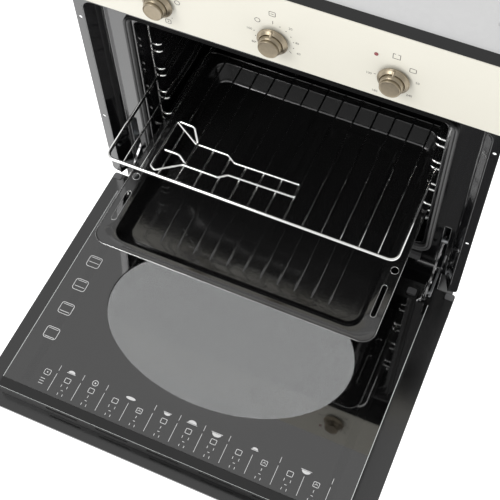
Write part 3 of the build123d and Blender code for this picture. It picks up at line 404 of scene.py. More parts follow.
@dataclass(frozen=True)
class Pane(Finish):
    """Glass that shows what lies behind it through a tint."""

    opacity: float = 0.4
    tint: Vec3 = (1.0, 1.0, 1.0)

    def share(self, recipe: Recipe) -> "Signal | float":
        """How much of the surface is gloss rather than clear."""
        return self.opacity

    @functools.cache
    def material(self) -> bpy.types.Material:
        """Part clear tint, part gloss, mixed by the share.

        Returns:
            The finish as a Blender material, made once.
        """
        recipe = Recipe(self.name)
        clear = recipe.node("ShaderNodeBsdfTransparent", {}, {0: (*self.tint, 1.0)})
        solid = self.surface(recipe)
        mixed = recipe.node("ShaderNodeMixShader", {}, {0: self.share(recipe)})
        recipe.tree.links.new(clear.outputs[0], mixed.inputs[1])
        recipe.tree.links.new(solid.outputs[0], mixed.inputs[2])
        return recipe.end(mixed)


@dataclass(frozen=True)
class OvalPane(Pane):
    """Tinted glass with a clearer oval window."""

    window: Vec2 = (0.0066, -0.2014)
    reach: Vec2 = (0.1942, 0.1245)
    window_opacity: float = 0.06

    def share(self, recipe: Recipe) -> Signal:
        """Gloss outside the oval where (x/a)^2 + (y/b)^2 passes one, and less of it inside.

        Args:
            recipe: The material under construction.

        Returns:
            The share of gloss.
        """
        x = (recipe.along(Axis.X) - self.window[0]) * (1 / self.reach[0])
        y = (recipe.along(Axis.Y) - self.window[1]) * (1 / self.reach[1])
        outside = (x * x + y * y).above(1.0)
        return outside * (self.opacity - self.window_opacity) + self.window_opacity


@dataclass(frozen=True)
class Luminous(Finish):
    """A lit studio floor."""

    glow: float = 1.0

    def surface(self, recipe: Recipe) -> bpy.types.Node:
        """The plain surface with an even glow.

        Args:
            recipe: The material under construction.

        Returns:
            The shader node.
        """
        made = super().surface(recipe)
        made.inputs["Emission Color"].default_value = (1.0, 1.0, 1.0, 1.0)
        made.inputs["Emission Strength"].default_value = self.glow
        return made


BLACK_ENAMEL = Speckled("black_enamel", (0.006, 0.006, 0.0065), 0.09, smear=0.03, grain_scale=160.0,
                        grain_depth=0.00003, speck=(0.02, 0.02, 0.02), ior=1.8, coat=0.5)
CAVITY_ENAMEL = Speckled("cavity_enamel", (0.010, 0.010, 0.011), 0.16, smear=0.05, grain_scale=220.0,
                         grain_depth=0.0001, speck=(0.09, 0.09, 0.095), speck_share=0.74)
TRAY_ENAMEL = Speckled("tray_enamel", (0.006, 0.006, 0.006), 0.11, smear=0.04, grain_scale=240.0,
                       grain_depth=0.00004, speck=(0.05, 0.05, 0.05), speck_share=0.78, ior=1.75, coat=0.6,
                       tip=-0.10)
CREAM_ENAMEL = Finish("cream_enamel", (0.62, 0.60, 0.525), 0.30, drift=0.015, smear=0.05, grain_scale=500.0,
                      grain_depth=0.00004)
DARK_SATIN = Finish("dark_satin_steel", (0.024, 0.024, 0.024), 0.40, ior=1.25, smear=0.06,
                    grain_stretch=(0.05, 1.0, 1.0), grain_scale=900.0, grain_depth=0.00003)
BLACK_DOOR = Finish("black_door_enamel", (0.008, 0.008, 0.008), 0.16, smear=0.05, grain_scale=300.0, ior=1.7)
CHROME_WIRE = Finish("chrome_wire", (0.80, 0.80, 0.79), 0.13, metallic=1.0, drift=0.06, drift_scale=40.0,
                     smear=0.05, grain_scale=700.0, grain_depth=0.00002)
AGED_BRONZE = Patina("aged_bronze", (0.315, 0.268, 0.196), 0.36, metallic=1.0, smear=0.08, smear_scale=90.0,
                     grain_scale=1400.0, grain_stretch=(1.0, 0.08, 1.0), grain_depth=0.00002)
BRIGHT_STEEL = Finish("bright_steel", (0.62, 0.62, 0.62), 0.27, metallic=1.0, drift=0.10, drift_scale=60.0,
                      smear=0.07, grain_scale=1200.0, grain_stretch=(1.0, 0.05, 1.0))
ZINC_SHEET = Spangled("galvanised_sheet", (0.40, 0.41, 0.42), 0.40, metallic=0.85, drift=0.075, smear=0.07,
                      crystal_scale=150.0, grain_scale=160.0)
LIGHT_COVER = Spangled("light_cover_sheet", (0.60, 0.60, 0.60), 0.45, metallic=0.2, drift=0.012, smear=0.04,
                       crystal_scale=160.0, grain_scale=260.0)
# Painted shade: the seal darkens above 424 mm, so its top run under the panel reads as shaded.
SEAL_RUBBER = ShadedAbove("grey_seal_rubber", (0.095, 0.095, 0.095), 0.62, drift=0.12, drift_scale=50.0,
                       smear=0.08, grain_scale=1500.0, grain_depth=0.00015, ior=1.2)
GREY_PLASTIC = Finish("grey_plastic", (0.10, 0.10, 0.102), 0.5, drift=0.05, grain_scale=1600.0,
                      grain_depth=0.00004)
WHITE_PLASTIC = Finish("white_plastic", (0.72, 0.71, 0.67), 0.42, drift=0.03, grain_scale=1500.0,
                       grain_depth=0.00003)
STEATITE = Finish("steatite", (0.74, 0.72, 0.66), 0.6, drift=0.05, drift_scale=80.0, grain_scale=1800.0,
                  grain_depth=0.00008)
TURNED_BRASS = Finish("turned_brass", (0.70, 0.52, 0.24), 0.28, metallic=1.0, drift=0.07, drift_scale=70.0,
                      grain_scale=1800.0, grain_stretch=(1.0, 0.1, 1.0))
CAST_ALUMINIUM = Finish("cast_aluminium", (0.60, 0.60, 0.61), 0.46, metallic=1.0, drift=0.08,
                        drift_scale=90.0, grain_scale=700.0, grain_depth=0.00012)
SIGNAL_RED = Finish("signal_red_lens", (0.22, 0.045, 0.05), 0.15, drift=0.1, drift_scale=300.0, smear=0.03)
MINERAL_WOOL = Finish("mineral_wool", (0.55, 0.50, 0.33), 0.9, drift=0.3, drift_scale=240.0, smear=0.05,
                      grain_scale=900.0, grain_stretch=(1.0, 1.0, 0.2), grain_depth=0.0012)
DARK_GLASS = OvalPane("tinted_door_glass", (0.004, 0.004, 0.004), 0.03, drift=0.2, smear=0.012,
                      smear_scale=14.0, grain_scale=3.0, grain_depth=0.000004, ior=2.3, tip=0.0865,
                      opacity=0.65, tint=(0.62, 0.612, 0.612))
CLEAR_GLASS = Pane("clear_glass", (0.20, 0.21, 0.21), 0.03, drift=0.1, smear=0.012, smear_scale=14.0,
                   grain_scale=3.0, grain_depth=0.000004, opacity=0.10, tint=(0.97, 0.98, 0.98))
PRINT_WHITE = Finish("pale_glass_print", (0.62, 0.62, 0.62), 0.5, drift=0.06, drift_scale=200.0)
GROUND_EDGE = Finish("ground_glass_edge", (0.60, 0.62, 0.61), 0.35, drift=0.1, drift_scale=60.0)
# Painted highlight: pale metal for the tray's slot collars and its rim wire, standing in for light glinting
# on black enamel edges.
PAINTED_HIGHLIGHT_EDGE = Finish("worn_pressed_edge", (0.46, 0.46, 0.455), 0.22, metallic=0.9, drift=0.2, drift_scale=30.0,
                   smear=0.06, grain_scale=900.0)
HINGE_STEEL = Patina("oiled_hinge_steel", (0.42, 0.42, 0.42), 0.24, metallic=1.0, smear=0.08,
                     smear_scale=120.0, tarnish=(0.015, 0.015, 0.015), tarnish_scale=85.0, tarnish_share=3.2,
                     grain_scale=900.0, grain_depth=0.00006)
PRINT_DARK = Finish("dark_dial_print", (0.05, 0.045, 0.04), 0.45, drift=0.1, drift_scale=200.0)
STUDIO_FLOOR = Luminous("studio_floor", (0.42, 0.42, 0.42), 0.8, drift=0.004, drift_scale=1.5, smear=0.03,
                        grain_scale=60.0, grain_depth=0.00005, glow=1.15)


# Shapes worked out with numpy, in millimetres


def rounded_path(corners: np.ndarray, radius: float, closed: bool = False, steps: int = 7) -> np.ndarray:
    """A polyline whose corners are tangent arcs.

    Each arc starts r*tan(turn/2) before its corner, and its points turn evenly about the centre, which is
    r/cos(turn/2) away from the corner along the bisector.

    Args:
        corners: Corner points, one row each.
        radius: Radius of every bend.
        closed: True if the last corner joins the first.
        steps: Points on each arc.

    Returns:
        The points of the path.
    """
    corners = np.asarray(corners, float)
    before = corners - np.roll(corners, 1, axis=0)
    after = np.roll(corners, -1, axis=0) - corners
    before = before / np.linalg.norm(before, axis=1, keepdims=True)
    after = after / np.linalg.norm(after, axis=1, keepdims=True)
    turn = np.arccos(np.clip((before * after).sum(axis=1), -1.0, 1.0))[:, None]
    reach = radius * np.tan(turn / 2)
    bisector = after - before
    bisector = bisector / np.linalg.norm(bisector, axis=1, keepdims=True)
    centre = corners + bisector * radius / np.cos(turn / 2)
    start = corners - before * reach - centre
    finish = corners + after * reach - centre
    share = np.linspace(0.0, 1.0, steps)[None, :, None]
    angle = turn[:, :, None]
    arcs = np.sin((1 - share) * angle) * start[:, None] + np.sin(share * angle) * finish[:, None]
    arcs = arcs / np.sin(angle) + centre[:, None]
    if closed:
        return arcs.reshape(-1, 3)
    return np.concatenate([corners[:1], arcs[1:-1].reshape(-1, 3), corners[-1:]])


def tube(path: np.ndarray, radius: float, sides: int, closed: bool = False, up: Vec3 = UPWARD) -> np.ndarray:
    """A round tube along a path: each ring is path + r*(cos(a)*side + sin(a)*rise).

    Args:
        path: Points along the wire.
        radius: Wire radius.
        sides: Points round the wire.
        closed: True if the path is a loop.
        up: A direction that the path never follows.

    Returns:
        Grid of points, one ring for each path point.
    """
    if closed:
        along = np.roll(path, -1, axis=0) - np.roll(path, 1, axis=0)
    else:
        along = np.gradient(path, axis=0)
    along = along / np.linalg.norm(along, axis=1, keepdims=True)
    side = np.cross(along, up)
    side = side / np.linalg.norm(side, axis=1, keepdims=True)
    rise = np.cross(side, along)
    angle = np.linspace(0.0, 2 * pi, sides, endpoint=False)[None, :, None]
    return path[:, None] + radius * (np.cos(angle) * side[:, None] + np.sin(angle) * rise[:, None])


def turned(profile: np.ndarray, sides: int, origin: Vec3, axis: Axis, sign: float = 1.0) -> np.ndarray:
    """A surface of revolution: origin + along*axis + r*(cos(a)*first + sin(a)*second).

    Args:
        profile: Rows of radius and distance along the axis.
        sides: Points round the axis.
        origin: Where the axis starts.
        axis: The row axis to turn about.
        sign: Plus or minus one, the way that distance runs.

    Returns:
        Grid of points, one ring for each profile row.
    """
    basis = np.eye(3)
    along = basis[axis.value] * sign
    first = basis[(axis.value + 1) % 3]
    second = np.cross(along, first)
    angle = np.linspace(0.0, 2 * pi, sides, endpoint=False)[None, :, None]
    radius = profile[:, 0][:, None, None]
    travel = profile[:, 1][:, None, None]
    return np.asarray(origin) + travel * along + radius * (np.cos(angle) * first + np.sin(angle) * second)


def rounded_rectangle(half: float, low: float, high: float, radius: float, steps: int = 8) -> np.ndarray:
    """A rounded rectangle about the middle, anticlockwise from its lower right corner.

    Args:
        half: Half its width.
        low: Its lower side.
        high: Its upper side.
        radius: Corner radius.
        steps: Points on each corner.

    Returns:
        Rows of two coordinates.
    """
    angle = np.linspace(0.0, pi / 2, steps)
    quarters = [-pi / 2, 0.0, pi / 2, pi]
    centres = [(half - radius, low + radius), (half - radius, high - radius),
               (radius - half, high - radius), (radius - half, low + radius)]
    arcs = [np.stack([x + radius * np.cos(angle + q), z + radius * np.sin(angle + q)], axis=1)
            for (x, z), q in zip(centres, quarters)]
    return np.concatenate(arcs)


def level(flat: np.ndarray, z: float) -> np.ndarray:
    """Rows of X and Y, set at one height."""
    return np.stack([flat[..., 0], flat[..., 1], np.full(flat.shape[:-1], z)], axis=-1)


def upright(flat: np.ndarray, y: float) -> np.ndarray:
    """Rows of X and Z, set at one depth."""
    return np.stack([flat[..., 0], np.full(flat.shape[:-1], y), flat[..., 1]], axis=-1)


class Shell:
    """Points and faces gathered for one piece, in millimetres."""

    def __init__(self) -> None:
        """Starts empty."""
        self.points: list[np.ndarray] = []
        self.faces: list[list[int]] = []
        self.count = 0

    def grid(self, points: np.ndarray, wrap_rows: bool = False, wrap_columns: bool = True,
             keep: np.ndarray | None = None, flip: bool = False) -> "Shell":
        """Adds a quad grid.

        Args:
            points: Array of rows by columns by three.
            wrap_rows: True to join the last row to the first.
            wrap_columns: True to join the last column to the first.
            keep: Mask of the quads to keep.
            flip: True to turn the faces over.

        Returns:
            This shell.
        """
        rows, columns = points.shape[:2]
        row, column = np.meshgrid(
            np.arange(rows if wrap_rows else rows - 1),
            np.arange(columns if wrap_columns else columns - 1),
            indexing="ij",
        )
        next_row = (row + 1) % rows
        next_column = (column + 1) % columns
        quads = np.stack([row * columns + column, next_row * columns + column,
                          next_row * columns + next_column, row * columns + next_column], axis=-1)
        quads = quads.reshape(-1, 4) if keep is None else quads[keep]
        if flip:
            quads = quads[:, ::-1]
        self.faces += (quads + self.count).tolist()
        self.points.append(points.reshape(-1, 3))
        self.count += rows * columns
        return self

    def face(self, loop: np.ndarray, flip: bool = False) -> "Shell":
        """Adds one flat face with many corners.

        Args:
            loop: The corners, one row each.
            flip: True to turn the face over.

        Returns:
            This shell.
        """
        order = np.arange(len(loop)) + self.count
        self.faces.append(order[::-1].tolist() if flip else order.tolist())
        self.points.append(np.asarray(loop, float))
        self.count += len(loop)
        return self

    def lathe(self, profile: np.ndarray, sides: int, origin: Vec3, axis: Axis, sign: float = 1.0,
              closed: bool = False) -> "Shell":
        """Adds a turned form whose profile runs from its back to its front."""
        rings = turned(np.asarray(profile, float), sides, origin, axis, sign)
        return self.grid(rings, wrap_rows=closed, flip=True)

    def merge(self, points: np.ndarray, faces: list[list[int]]) -> "Shell":
        """Adds ready points and faces.

        Args:
            points: The points, one row each.
            faces: The corners of each face, counted from the first of these points.

        Returns:
            This shell.
        """
        self.faces += [[corner + self.count for corner in face] for face in faces]
        self.points.append(points)
        self.count += len(points)
        return self

    def wire(self, path: np.ndarray, radius: float, sides: int = 12, closed: bool = False,
             up: Vec3 = UPWARD) -> "Shell":
        """Adds a round wire, with flat ends if it is open.

        Args:
            path: Points along the wire.
            radius: Wire radius.
            sides: Points round the wire.
            closed: True if the path is a loop.
            up: A direction that the path never follows.

        Returns:
            This shell.
        """
        rings = tube(path, radius, sides, closed, up)
        self.grid(rings, wrap_rows=closed)
        if not closed:
            self.face(rings[0])
            self.face(rings[-1], flip=True)
        return self

    def mirrored(self) -> "Shell":
        """The same shell on the other side, with its faces turned back outwards.

        Returns:
            A new shell.
        """
        other = Shell()
        other.points = [part * np.array([-1.0, 1.0, 1.0]) for part in self.points]
        other.faces = [face[::-1] for face in self.faces]
        other.count = self.count
        return other

    def bare(self, name: str) -> bpy.types.Object:
        """Turns the shell into an object with a weld on it, still without a finish and not yet settled.

        Args:
            name: The object's name.

        Returns:
            The object.
        """
        mesh = bpy.data.meshes.new(name)
        mesh.from_pydata((np.concatenate(self.points) * MM).tolist(), [], self.faces)
        mesh.update()
        made = bpy.data.objects.new(name, mesh)
        bpy.context.scene.collection.objects.link(made)
        weld = made.modifiers.new("weld", "WELD")
        weld.merge_threshold = WELD_REACH
        return made

    def cutter(self, name: str) -> bpy.types.Object:
        """Turns the shell into a hidden object, for cutting.

        Args:
            name: The object's name.

        Returns:
            The object.
        """
        made = self.bare(name)
        made.hide_render = True
        settle(made)
        return made

    def piece(self, name: str, body: str, finish: Finish, slot: str, replaces: tuple[str, ...] = (),
              wall: float = 0.0, bevel: float = 0.0, cutters: tuple["Shell", ...] = (),
              sharp: float = 38.0) -> bpy.types.Object:
        """Turns the shell into a dressed object that rides on a body.

        Args:
            name: The piece's name.
            body: The body that it rides on.
            finish: Its finish.
            slot: The record's material slot; not used.
            replaces: The nodes that it stands for.
            wall: Sheet thickness added behind the faces, or nought.
            bevel: Width of an edge rounding, or nought.
            cutters: Closed shells cut out of the piece.
            sharp: Angle in degrees above which an edge stays sharp.

        Returns:
            The object.
        """
        made = self.bare(name)
        if wall:
            thicken = made.modifiers.new("wall", "SOLIDIFY")
            thicken.thickness = wall * MM
            thicken.offset = -1.0
            thicken.use_even_offset = False
            thicken.use_quality_normals = True
        tools = [shell.cutter(f"{name}_cutter") for shell in cutters]
        for tool in tools:
            cut = made.modifiers.new("cut", "BOOLEAN")
            cut.operation = "DIFFERENCE"
            cut.object = tool
            cut.solver = "EXACT"
        if bevel:
            soften = made.modifiers.new("soften", "BEVEL")
            soften.width = bevel * MM
            soften.segments = 2
            soften.limit_method = "ANGLE"
            soften.angle_limit = radians(BEVEL_ANGLE)
        settle(made)
        for tool in tools:
            bpy.data.objects.remove(tool)
        faces = made.data.polygons
        made.data.materials.clear()
        made.data.materials.append(finish.material())
        faces.foreach_set("material_index", np.zeros(len(faces), int))
        faces.foreach_set("use_smooth", np.ones(len(faces), bool))
        made.data.set_sharp_from_angle(angle=radians(sharp))
        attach(made, body)
        if replaces:
            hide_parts(*replaces)
        LOG.info("%s: %d faces on %s", name, len(faces), body)
        return made


def settle(made: bpy.types.Object) -> None:
    """Replaces an object's mesh by the one that its modifiers give, and drops the modifiers.

    Args:
        made: The object.
    """
    bpy.context.view_layer.update()
    result = bpy.data.meshes.new_from_object(made.evaluated_get(bpy.context.evaluated_depsgraph_get()))
    made.modifiers.clear()
    made.data = result


def corners_of(node: str) -> tuple[np.ndarray, np.ndarray]:
    """A node's lowest and highest corners, in millimetres."""
    low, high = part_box(node)
    return np.array(low) / MM, np.array(high) / MM


def prism(outline: np.ndarray, axis: Axis, start: float, end: float) -> Shell:
    """A closed prism of an outline, given in the two axes that follow its own.

    Args:
        outline: Rows of two coordinates, anticlockwise.
        axis: The axis that the prism runs along.
        start: Its lower end on that axis.
        end: Its upper end.

    Returns:
        The shell.
    """
    rings = np.zeros((2, len(outline), 3))
    rings[:, :, (axis.value + 1) % 3] = outline[:, 0]
    rings[:, :, (axis.value + 2) % 3] = outline[:, 1]
    rings[0, :, axis.value] = start
    rings[1, :, axis.value] = end
    shell = Shell().grid(rings, flip=True)
    return shell.face(rings[0], flip=True).face(rings[1])


def circle(radius: float, centre: Vec2 = (0.0, 0.0), sides: int = 32) -> np.ndarray:
    """A circle as rows of two coordinates."""
    angle = np.linspace(0.0, 2 * pi, sides, endpoint=False)
    return np.stack([centre[0] + radius * np.cos(angle), centre[1] + radius * np.sin(angle)], axis=1)


def ridge(length: float, width: float, height: float, sink: float = 0.1, taper: float = 0.6,
          fullness: int = 14) -> np.ndarray:
    """A long low ridge about the origin: its height follows the cosine across it and a smooth end along it.

    Args:
        length: Size along the first coordinate.
        width: Size along the second.
        height: Rise along the third.
        sink: How far it all stands below the origin.
        taper: Share of the width that is lost at the ends.
        fullness: Power of the end's curve, higher for a blunter one.

    Returns:
        Grid of points, rows along and columns across.
    """
    along = np.linspace(-1.0, 1.0, 25)
    across = np.linspace(-1.0, 1.0, 9)
    end = np.sqrt(np.clip(1 - np.abs(along) ** fullness, 0.0, 1.0))
    grid = np.empty((len(along), len(across), 3))
    grid[:, :, 0] = along[:, None] * length / 2
    grid[:, :, 1] = np.outer(1 - taper + taper * end, across) * width / 2
    grid[:, :, 2] = np.outer(end, np.cos(across * pi / 2)) * height - sink
    return grid


def turned_to(grid: np.ndarray, along: Vec3, across: Vec3, origin: Vec3) -> np.ndarray:
    """Carries a grid about the origin to a place: origin + u*along + v*across + w*(along x across)."""
    return grid @ np.array([along, across, np.cross(along, across)]) + np.asarray(origin)


@dataclass
class Print:
    """Flat marks, each a thin skin, gathered for one plane face."""

    axis: Axis
    level: float
    skin: float = 0.04
    shell: Shell = field(default_factory=Shell)

    def lay(self, flat: np.ndarray) -> np.ndarray:
        """Rows of two coordinates set on the face: X and Y on a level face, X and Z on an upright one."""
        return level(flat, self.level) if self.axis is Axis.Z else upright(flat, self.level)

    def stroke(self, points: np.ndarray, width: float, closed: bool = False) -> None:
        """Adds a line of even width: each point moves half the width to both sides along its mitre.

        Args:
            points: Rows of two coordinates along the line.
            width: The line's width.
            closed: True if the last point joins the first.
        """
        points = np.asarray(points, float)
        after = np.roll(points, -1, axis=0) - points
        after = after / np.linalg.norm(after, axis=1, keepdims=True)
        before = np.roll(after, 1, axis=0)
        if not closed:
            before[0] = after[0]
            after[-1] = before[-1]
        mean = after + before
        mean = mean / np.linalg.norm(mean, axis=1, keepdims=True)
        reach = width / 2 / (mean * after).sum(axis=1, keepdims=True)
        left = np.stack([-mean[:, 1], mean[:, 0]], axis=1) * reach
        band = np.stack([points - left, points + left], axis=1)
        self.shell.grid(self.lay(band), wrap_rows=closed, wrap_columns=False)

    def level_line(self, middle: float, half: float, place: float, width: float) -> None:
        """Adds a straight line along X, by its middle, half its length and its place across."""
        self.stroke(np.array([(middle - half, place), (middle + half, place)]), width)

    def upright_line(self, x: float, ends: Vec2, width: float) -> None:
        """Adds a straight line across X, by its place and both ends."""
        self.stroke(np.array([(x, ends[0]), (x, ends[1])]), width)

    def blob(self, outline: np.ndarray, centre: Vec2 = (0.0, 0.0)) -> None:
        """Adds one filled shape, given anticlockwise."""
        self.shell.face(self.lay(np.asarray(outline, float) + np.array(centre)))

    def frame(self, centre: Vec2, width: float, height: float, corner: float, line: float) -> None:
        """Adds the outline of a rounded oblong."""
        flat = rounded_rectangle(width / 2, -height / 2, height / 2, corner, 4)
        self.stroke(flat + np.array(centre), line, closed=True)

    def number(self, text: str, centre: Vec2, height: float) -> None:
        """Adds a plain number as flat faces, drawn in the built-in typeface.

        Args:
            text: The digits.
            centre: Middle of the number.
            height: Height of a digit.
        """
        curve = bpy.data.curves.new("number", "FONT")
        curve.body = text
        curve.align_x = "CENTER"
        curve.align_y = "CENTER"
        curve.size = height / DIGIT_SHARE
        curve.resolution_u = 2
        made = bpy.data.objects.new("number", curve)
        bpy.context.scene.collection.objects.link(made)
        bpy.context.view_layer.update()
        mesh = bpy.data.meshes.new_from_object(made)
        corners = np.empty(len(mesh.vertices) * 3)
        mesh.vertices.foreach_get("co", corners)
        flat = corners.reshape(-1, 3)[:, :2] + np.array(centre)
        faces = [list(face.vertices)[::1 if face.normal.z > 0 else -1] for face in mesh.polygons]
        self.shell.merge(self.lay(flat), faces)
        bpy.data.objects.remove(made)
        bpy.data.curves.remove(curve)

    def piece(self, name: str, body: str, finish: Finish, slot: str) -> None:
        """Gives the marks a skin's thickness and places them."""
        self.shell.piece(name, body, finish, slot, wall=self.skin)


# Sub-assemblies


@dataclass
class FrameRolls:
    """The front pressing's rolled edges: round the mouth, along the recess and round both hinge slots."""

    mouth_half: float = 226.0
    mouth_low: float = 131.0
    mouth_high: float = 427.0
    mouth_corner: float = 12.0
    mouth_sink: float = 0.3
    mouth_roll: float = 0.9
    recess_half: float = 285.0
    recess_low: float = 69.5
    recess_top: float = 467.0
    recess_depth: float = 26.0
    recess_corner: float = 16.0
    recess_sink: float = 0.4
    recess_roll: float = 0.54
    slot_inner: float = 251.9
    slot_outer: float = 262.5
    slot_low: float = 82.0
    slot_high: float = 198.0
    slot_corner: float = 1.5
    slot_roll: float = 0.63

    def build(self) -> None:
        """Lays a fine round roll on each pressed edge."""
        flat = rounded_rectangle(self.mouth_half, self.mouth_low, self.mouth_high, self.mouth_corner, 9)
        mouth = upright(flat, self.recess_depth + self.mouth_sink)
        shell = Shell().wire(mouth, self.mouth_roll, 10, True, FORE_AND_AFT)
        x, low, top = self.recess_half, self.recess_low, self.recess_top
        edge = upright(np.array([(x, low), (x, top), (-x, top), (-x, low)]), self.recess_sink)
        shell.wire(rounded_path(edge, self.recess_corner, steps=9), self.recess_roll, 8, False, FORE_AND_AFT)
        low, top, depth = self.slot_low, self.slot_high, self.recess_depth
        for side in Side:
            inner, outer = side.value * self.slot_inner, side.value * self.slot_outer
            slot = upright(np.array([(inner, low), (outer, low), (outer, top), (inner, top)]), depth)
            shell.wire(rounded_path(slot, self.slot_corner, True), self.slot_roll, 8, True, FORE_AND_AFT)
        shell.piece("frame_rolled_edges", "oven_body", BLACK_ENAMEL, "black_enamel")


@dataclass
class Seal:
    """The soft ring that the closed door's glass presses on: a flat foot with two round lips."""

    width: float = 8.3
    opening_low: float = 126.5
    opening_high: float = 431.5
    corner: float = 13.0
    lip_share: float = 0.23
    inner_step: float = 0.8
    groove_depth: float = 1.6

    def section(self, front: float, back: float) -> np.ndarray:
        """The profile: each lip is a half circle on a straight side, and a groove parts them.

        Args:
            front: Depth of the outer lip's crown.
            back: Depth of the foot.

        Returns:
            Rows of outward growth and depth, once round the profile.
        """
        lip = self.width * self.lip_share
        turn = np.linspace(0.0, pi, 8)
        run, rise = lip * np.cos(turn), lip * (1 - np.sin(turn))
        outer = np.stack([self.width - lip + run, front + rise], axis=1)
        inner = np.stack([lip + run, front + self.inner_step + rise], axis=1)
        groove = np.array([(self.width / 2, back - self.groove_depth)])
        foot = np.array([(0.0, back), (self.width, back)])
        return np.concatenate([outer, groove, inner, foot])

    def build(self) -> None:
        """Carries the section round the mouth."""
        low, high = corners_of("door_gasket")
        inner_half = high[0] - self.width
        rings = []
        for grow, y in self.section(low[1], high[1]):
            flat = rounded_rectangle(inner_half + grow, self.opening_low - grow, self.opening_high + grow,
                                     self.corner + grow, 10)
            rings.append(upright(flat, y))
        shell = Shell().grid(np.array(rings), wrap_rows=True)
        shell.piece("door_seal", "oven_body", SEAL_RUBBER, "seal_rubber", ("door_gasket",), sharp=50.0)


@dataclass
class WireLadder:
    """One shelf ladder: two uprights, pairs of bent rungs and fixing eyes."""

    side: Side
    wire: float = 2.0
    stand_off: float = 8.4
    rung_reach: float = 15.6
    bend: float = 6.0
    lowest: float = 177.0
    pitch: float = 53.0
    pair: float = 15.0
    levels: int = 5
    eye: float = 4.0
    eye_fit: float = 0.1
    eye_drop: float = 20.0
    eye_rise: float = 22.0

    def build(self) -> None:
        """Bends the wires on the right and mirrors them for the left."""
        node = f"ladder_{self.side.name.lower()}"
        low, high = corners_of(node)
        wall_x = max(abs(low[0]), abs(high[0])) - self.stand_off
        rung_x = wall_x - self.rung_reach
        front, back = low[1] + self.eye, high[1] - self.eye
        levels = [self.lowest + self.pitch * n for n in range(self.levels)]
        shell = Shell()
        for y in (front, back):
            shell.wire(np.linspace([wall_x, y, low[2]], [wall_x, y, high[2]], 3), self.wire, up=FORE_AND_AFT)
        for z in [level_z + extra for level_z in levels for extra in (0.0, self.pair)]:
            corners = np.array([(wall_x, front, z), (rung_x, front, z), (rung_x, back, z), (wall_x, back, z)])
            shell.wire(rounded_path(corners, self.bend), self.wire)
        bore = self.wire + self.eye_fit
        ring = [(bore, 0.0), (self.eye, 0.0), (self.eye, self.stand_off), (bore, self.stand_off)]
        for y in (front, back):
            for z in (levels[0] - self.eye_drop, levels[-1] + self.eye_rise):
                shell.lathe(ring, 24, (wall_x, y, z), Axis.X, closed=True)
        if self.side is Side.LEFT:
            shell = shell.mirrored()
        shell.piece(f"wire_{node}", "oven_body", CHROME_WIRE, "chrome_wire", (node,))


@dataclass
class WireRack:
    """The chrome rack: a heavy rounded frame and fine wires from front to back."""

    frame_wire: float = 2.5
    wire: float = 1.4
    pitch: float = 27.0
    each_side: int = 7
    corner: float = 12.0

    def build(self) -> None:
        """Bends the frame as one loop and lays the fine wires into it."""
        low, high = corners_of("oven_rack")
        half, back = high[0] - self.frame_wire, high[1] - self.frame_wire
        front = low[1] + self.frame_wire
        z = (low[2] + high[2]) / 2
        frame = level(np.array([(half, front), (half, back), (-half, back), (-half, front)]), z)
        shell = Shell().wire(rounded_path(frame, self.corner, closed=True), self.frame_wire, 16, True)
        for step in range(-self.each_side, self.each_side + 1):
            x = self.pitch * step
            shell.wire(np.linspace([x, front, z], [x, back, z], 3), self.wire)
        shell.piece("chrome_rack", "rack", CHROME_WIRE, "chrome_wire", ("oven_rack",))


@dataclass
class Lifter:
    """The wire tool on the rack: a narrow handle, a flared head and a raised claw."""

    wire: float = 1.75
    loop_bend: float = 2.4
    claw_bend: float = 5.0
    rise: float = 16.0
    weld_sink: float = 0.4
    loop: tuple[Vec2, ...] = (
        (54, -71), (54, -49), (-44, -51), (-58, -42), (-108, -42), (-150, -16), (-150, -100), (-142, -105),
        (-110, -82), (-56, -82), (-44, -73),
    )
    claw: tuple[tuple[float, float, bool], ...] = (
        (-136, -80, True), (-114, -80, True), (-105, -82, False), (-105, -42, False), (-115, -29, True),
        (-137, -28, True),
    )

    def build(self) -> None:
        """Bends the closed loop and welds the claw on top, whose raised points carry a true mark."""
        z = corners_of("lifter_tool")[0][2] + self.wire
        loop = level(np.array(self.loop, float), z)
        shell = Shell().wire(rounded_path(loop, self.loop_bend, closed=True), self.wire, 12, True)
        over = z + 2 * self.wire - self.weld_sink
        claw = np.array([(x, y, over + self.rise * raised) for x, y, raised in self.claw])
        shell.wire(rounded_path(claw, self.claw_bend), self.wire, 12)
        shell.piece("wire_lifter", "lifter", CHROME_WIRE, "chrome_wire", ("lifter_tool",))


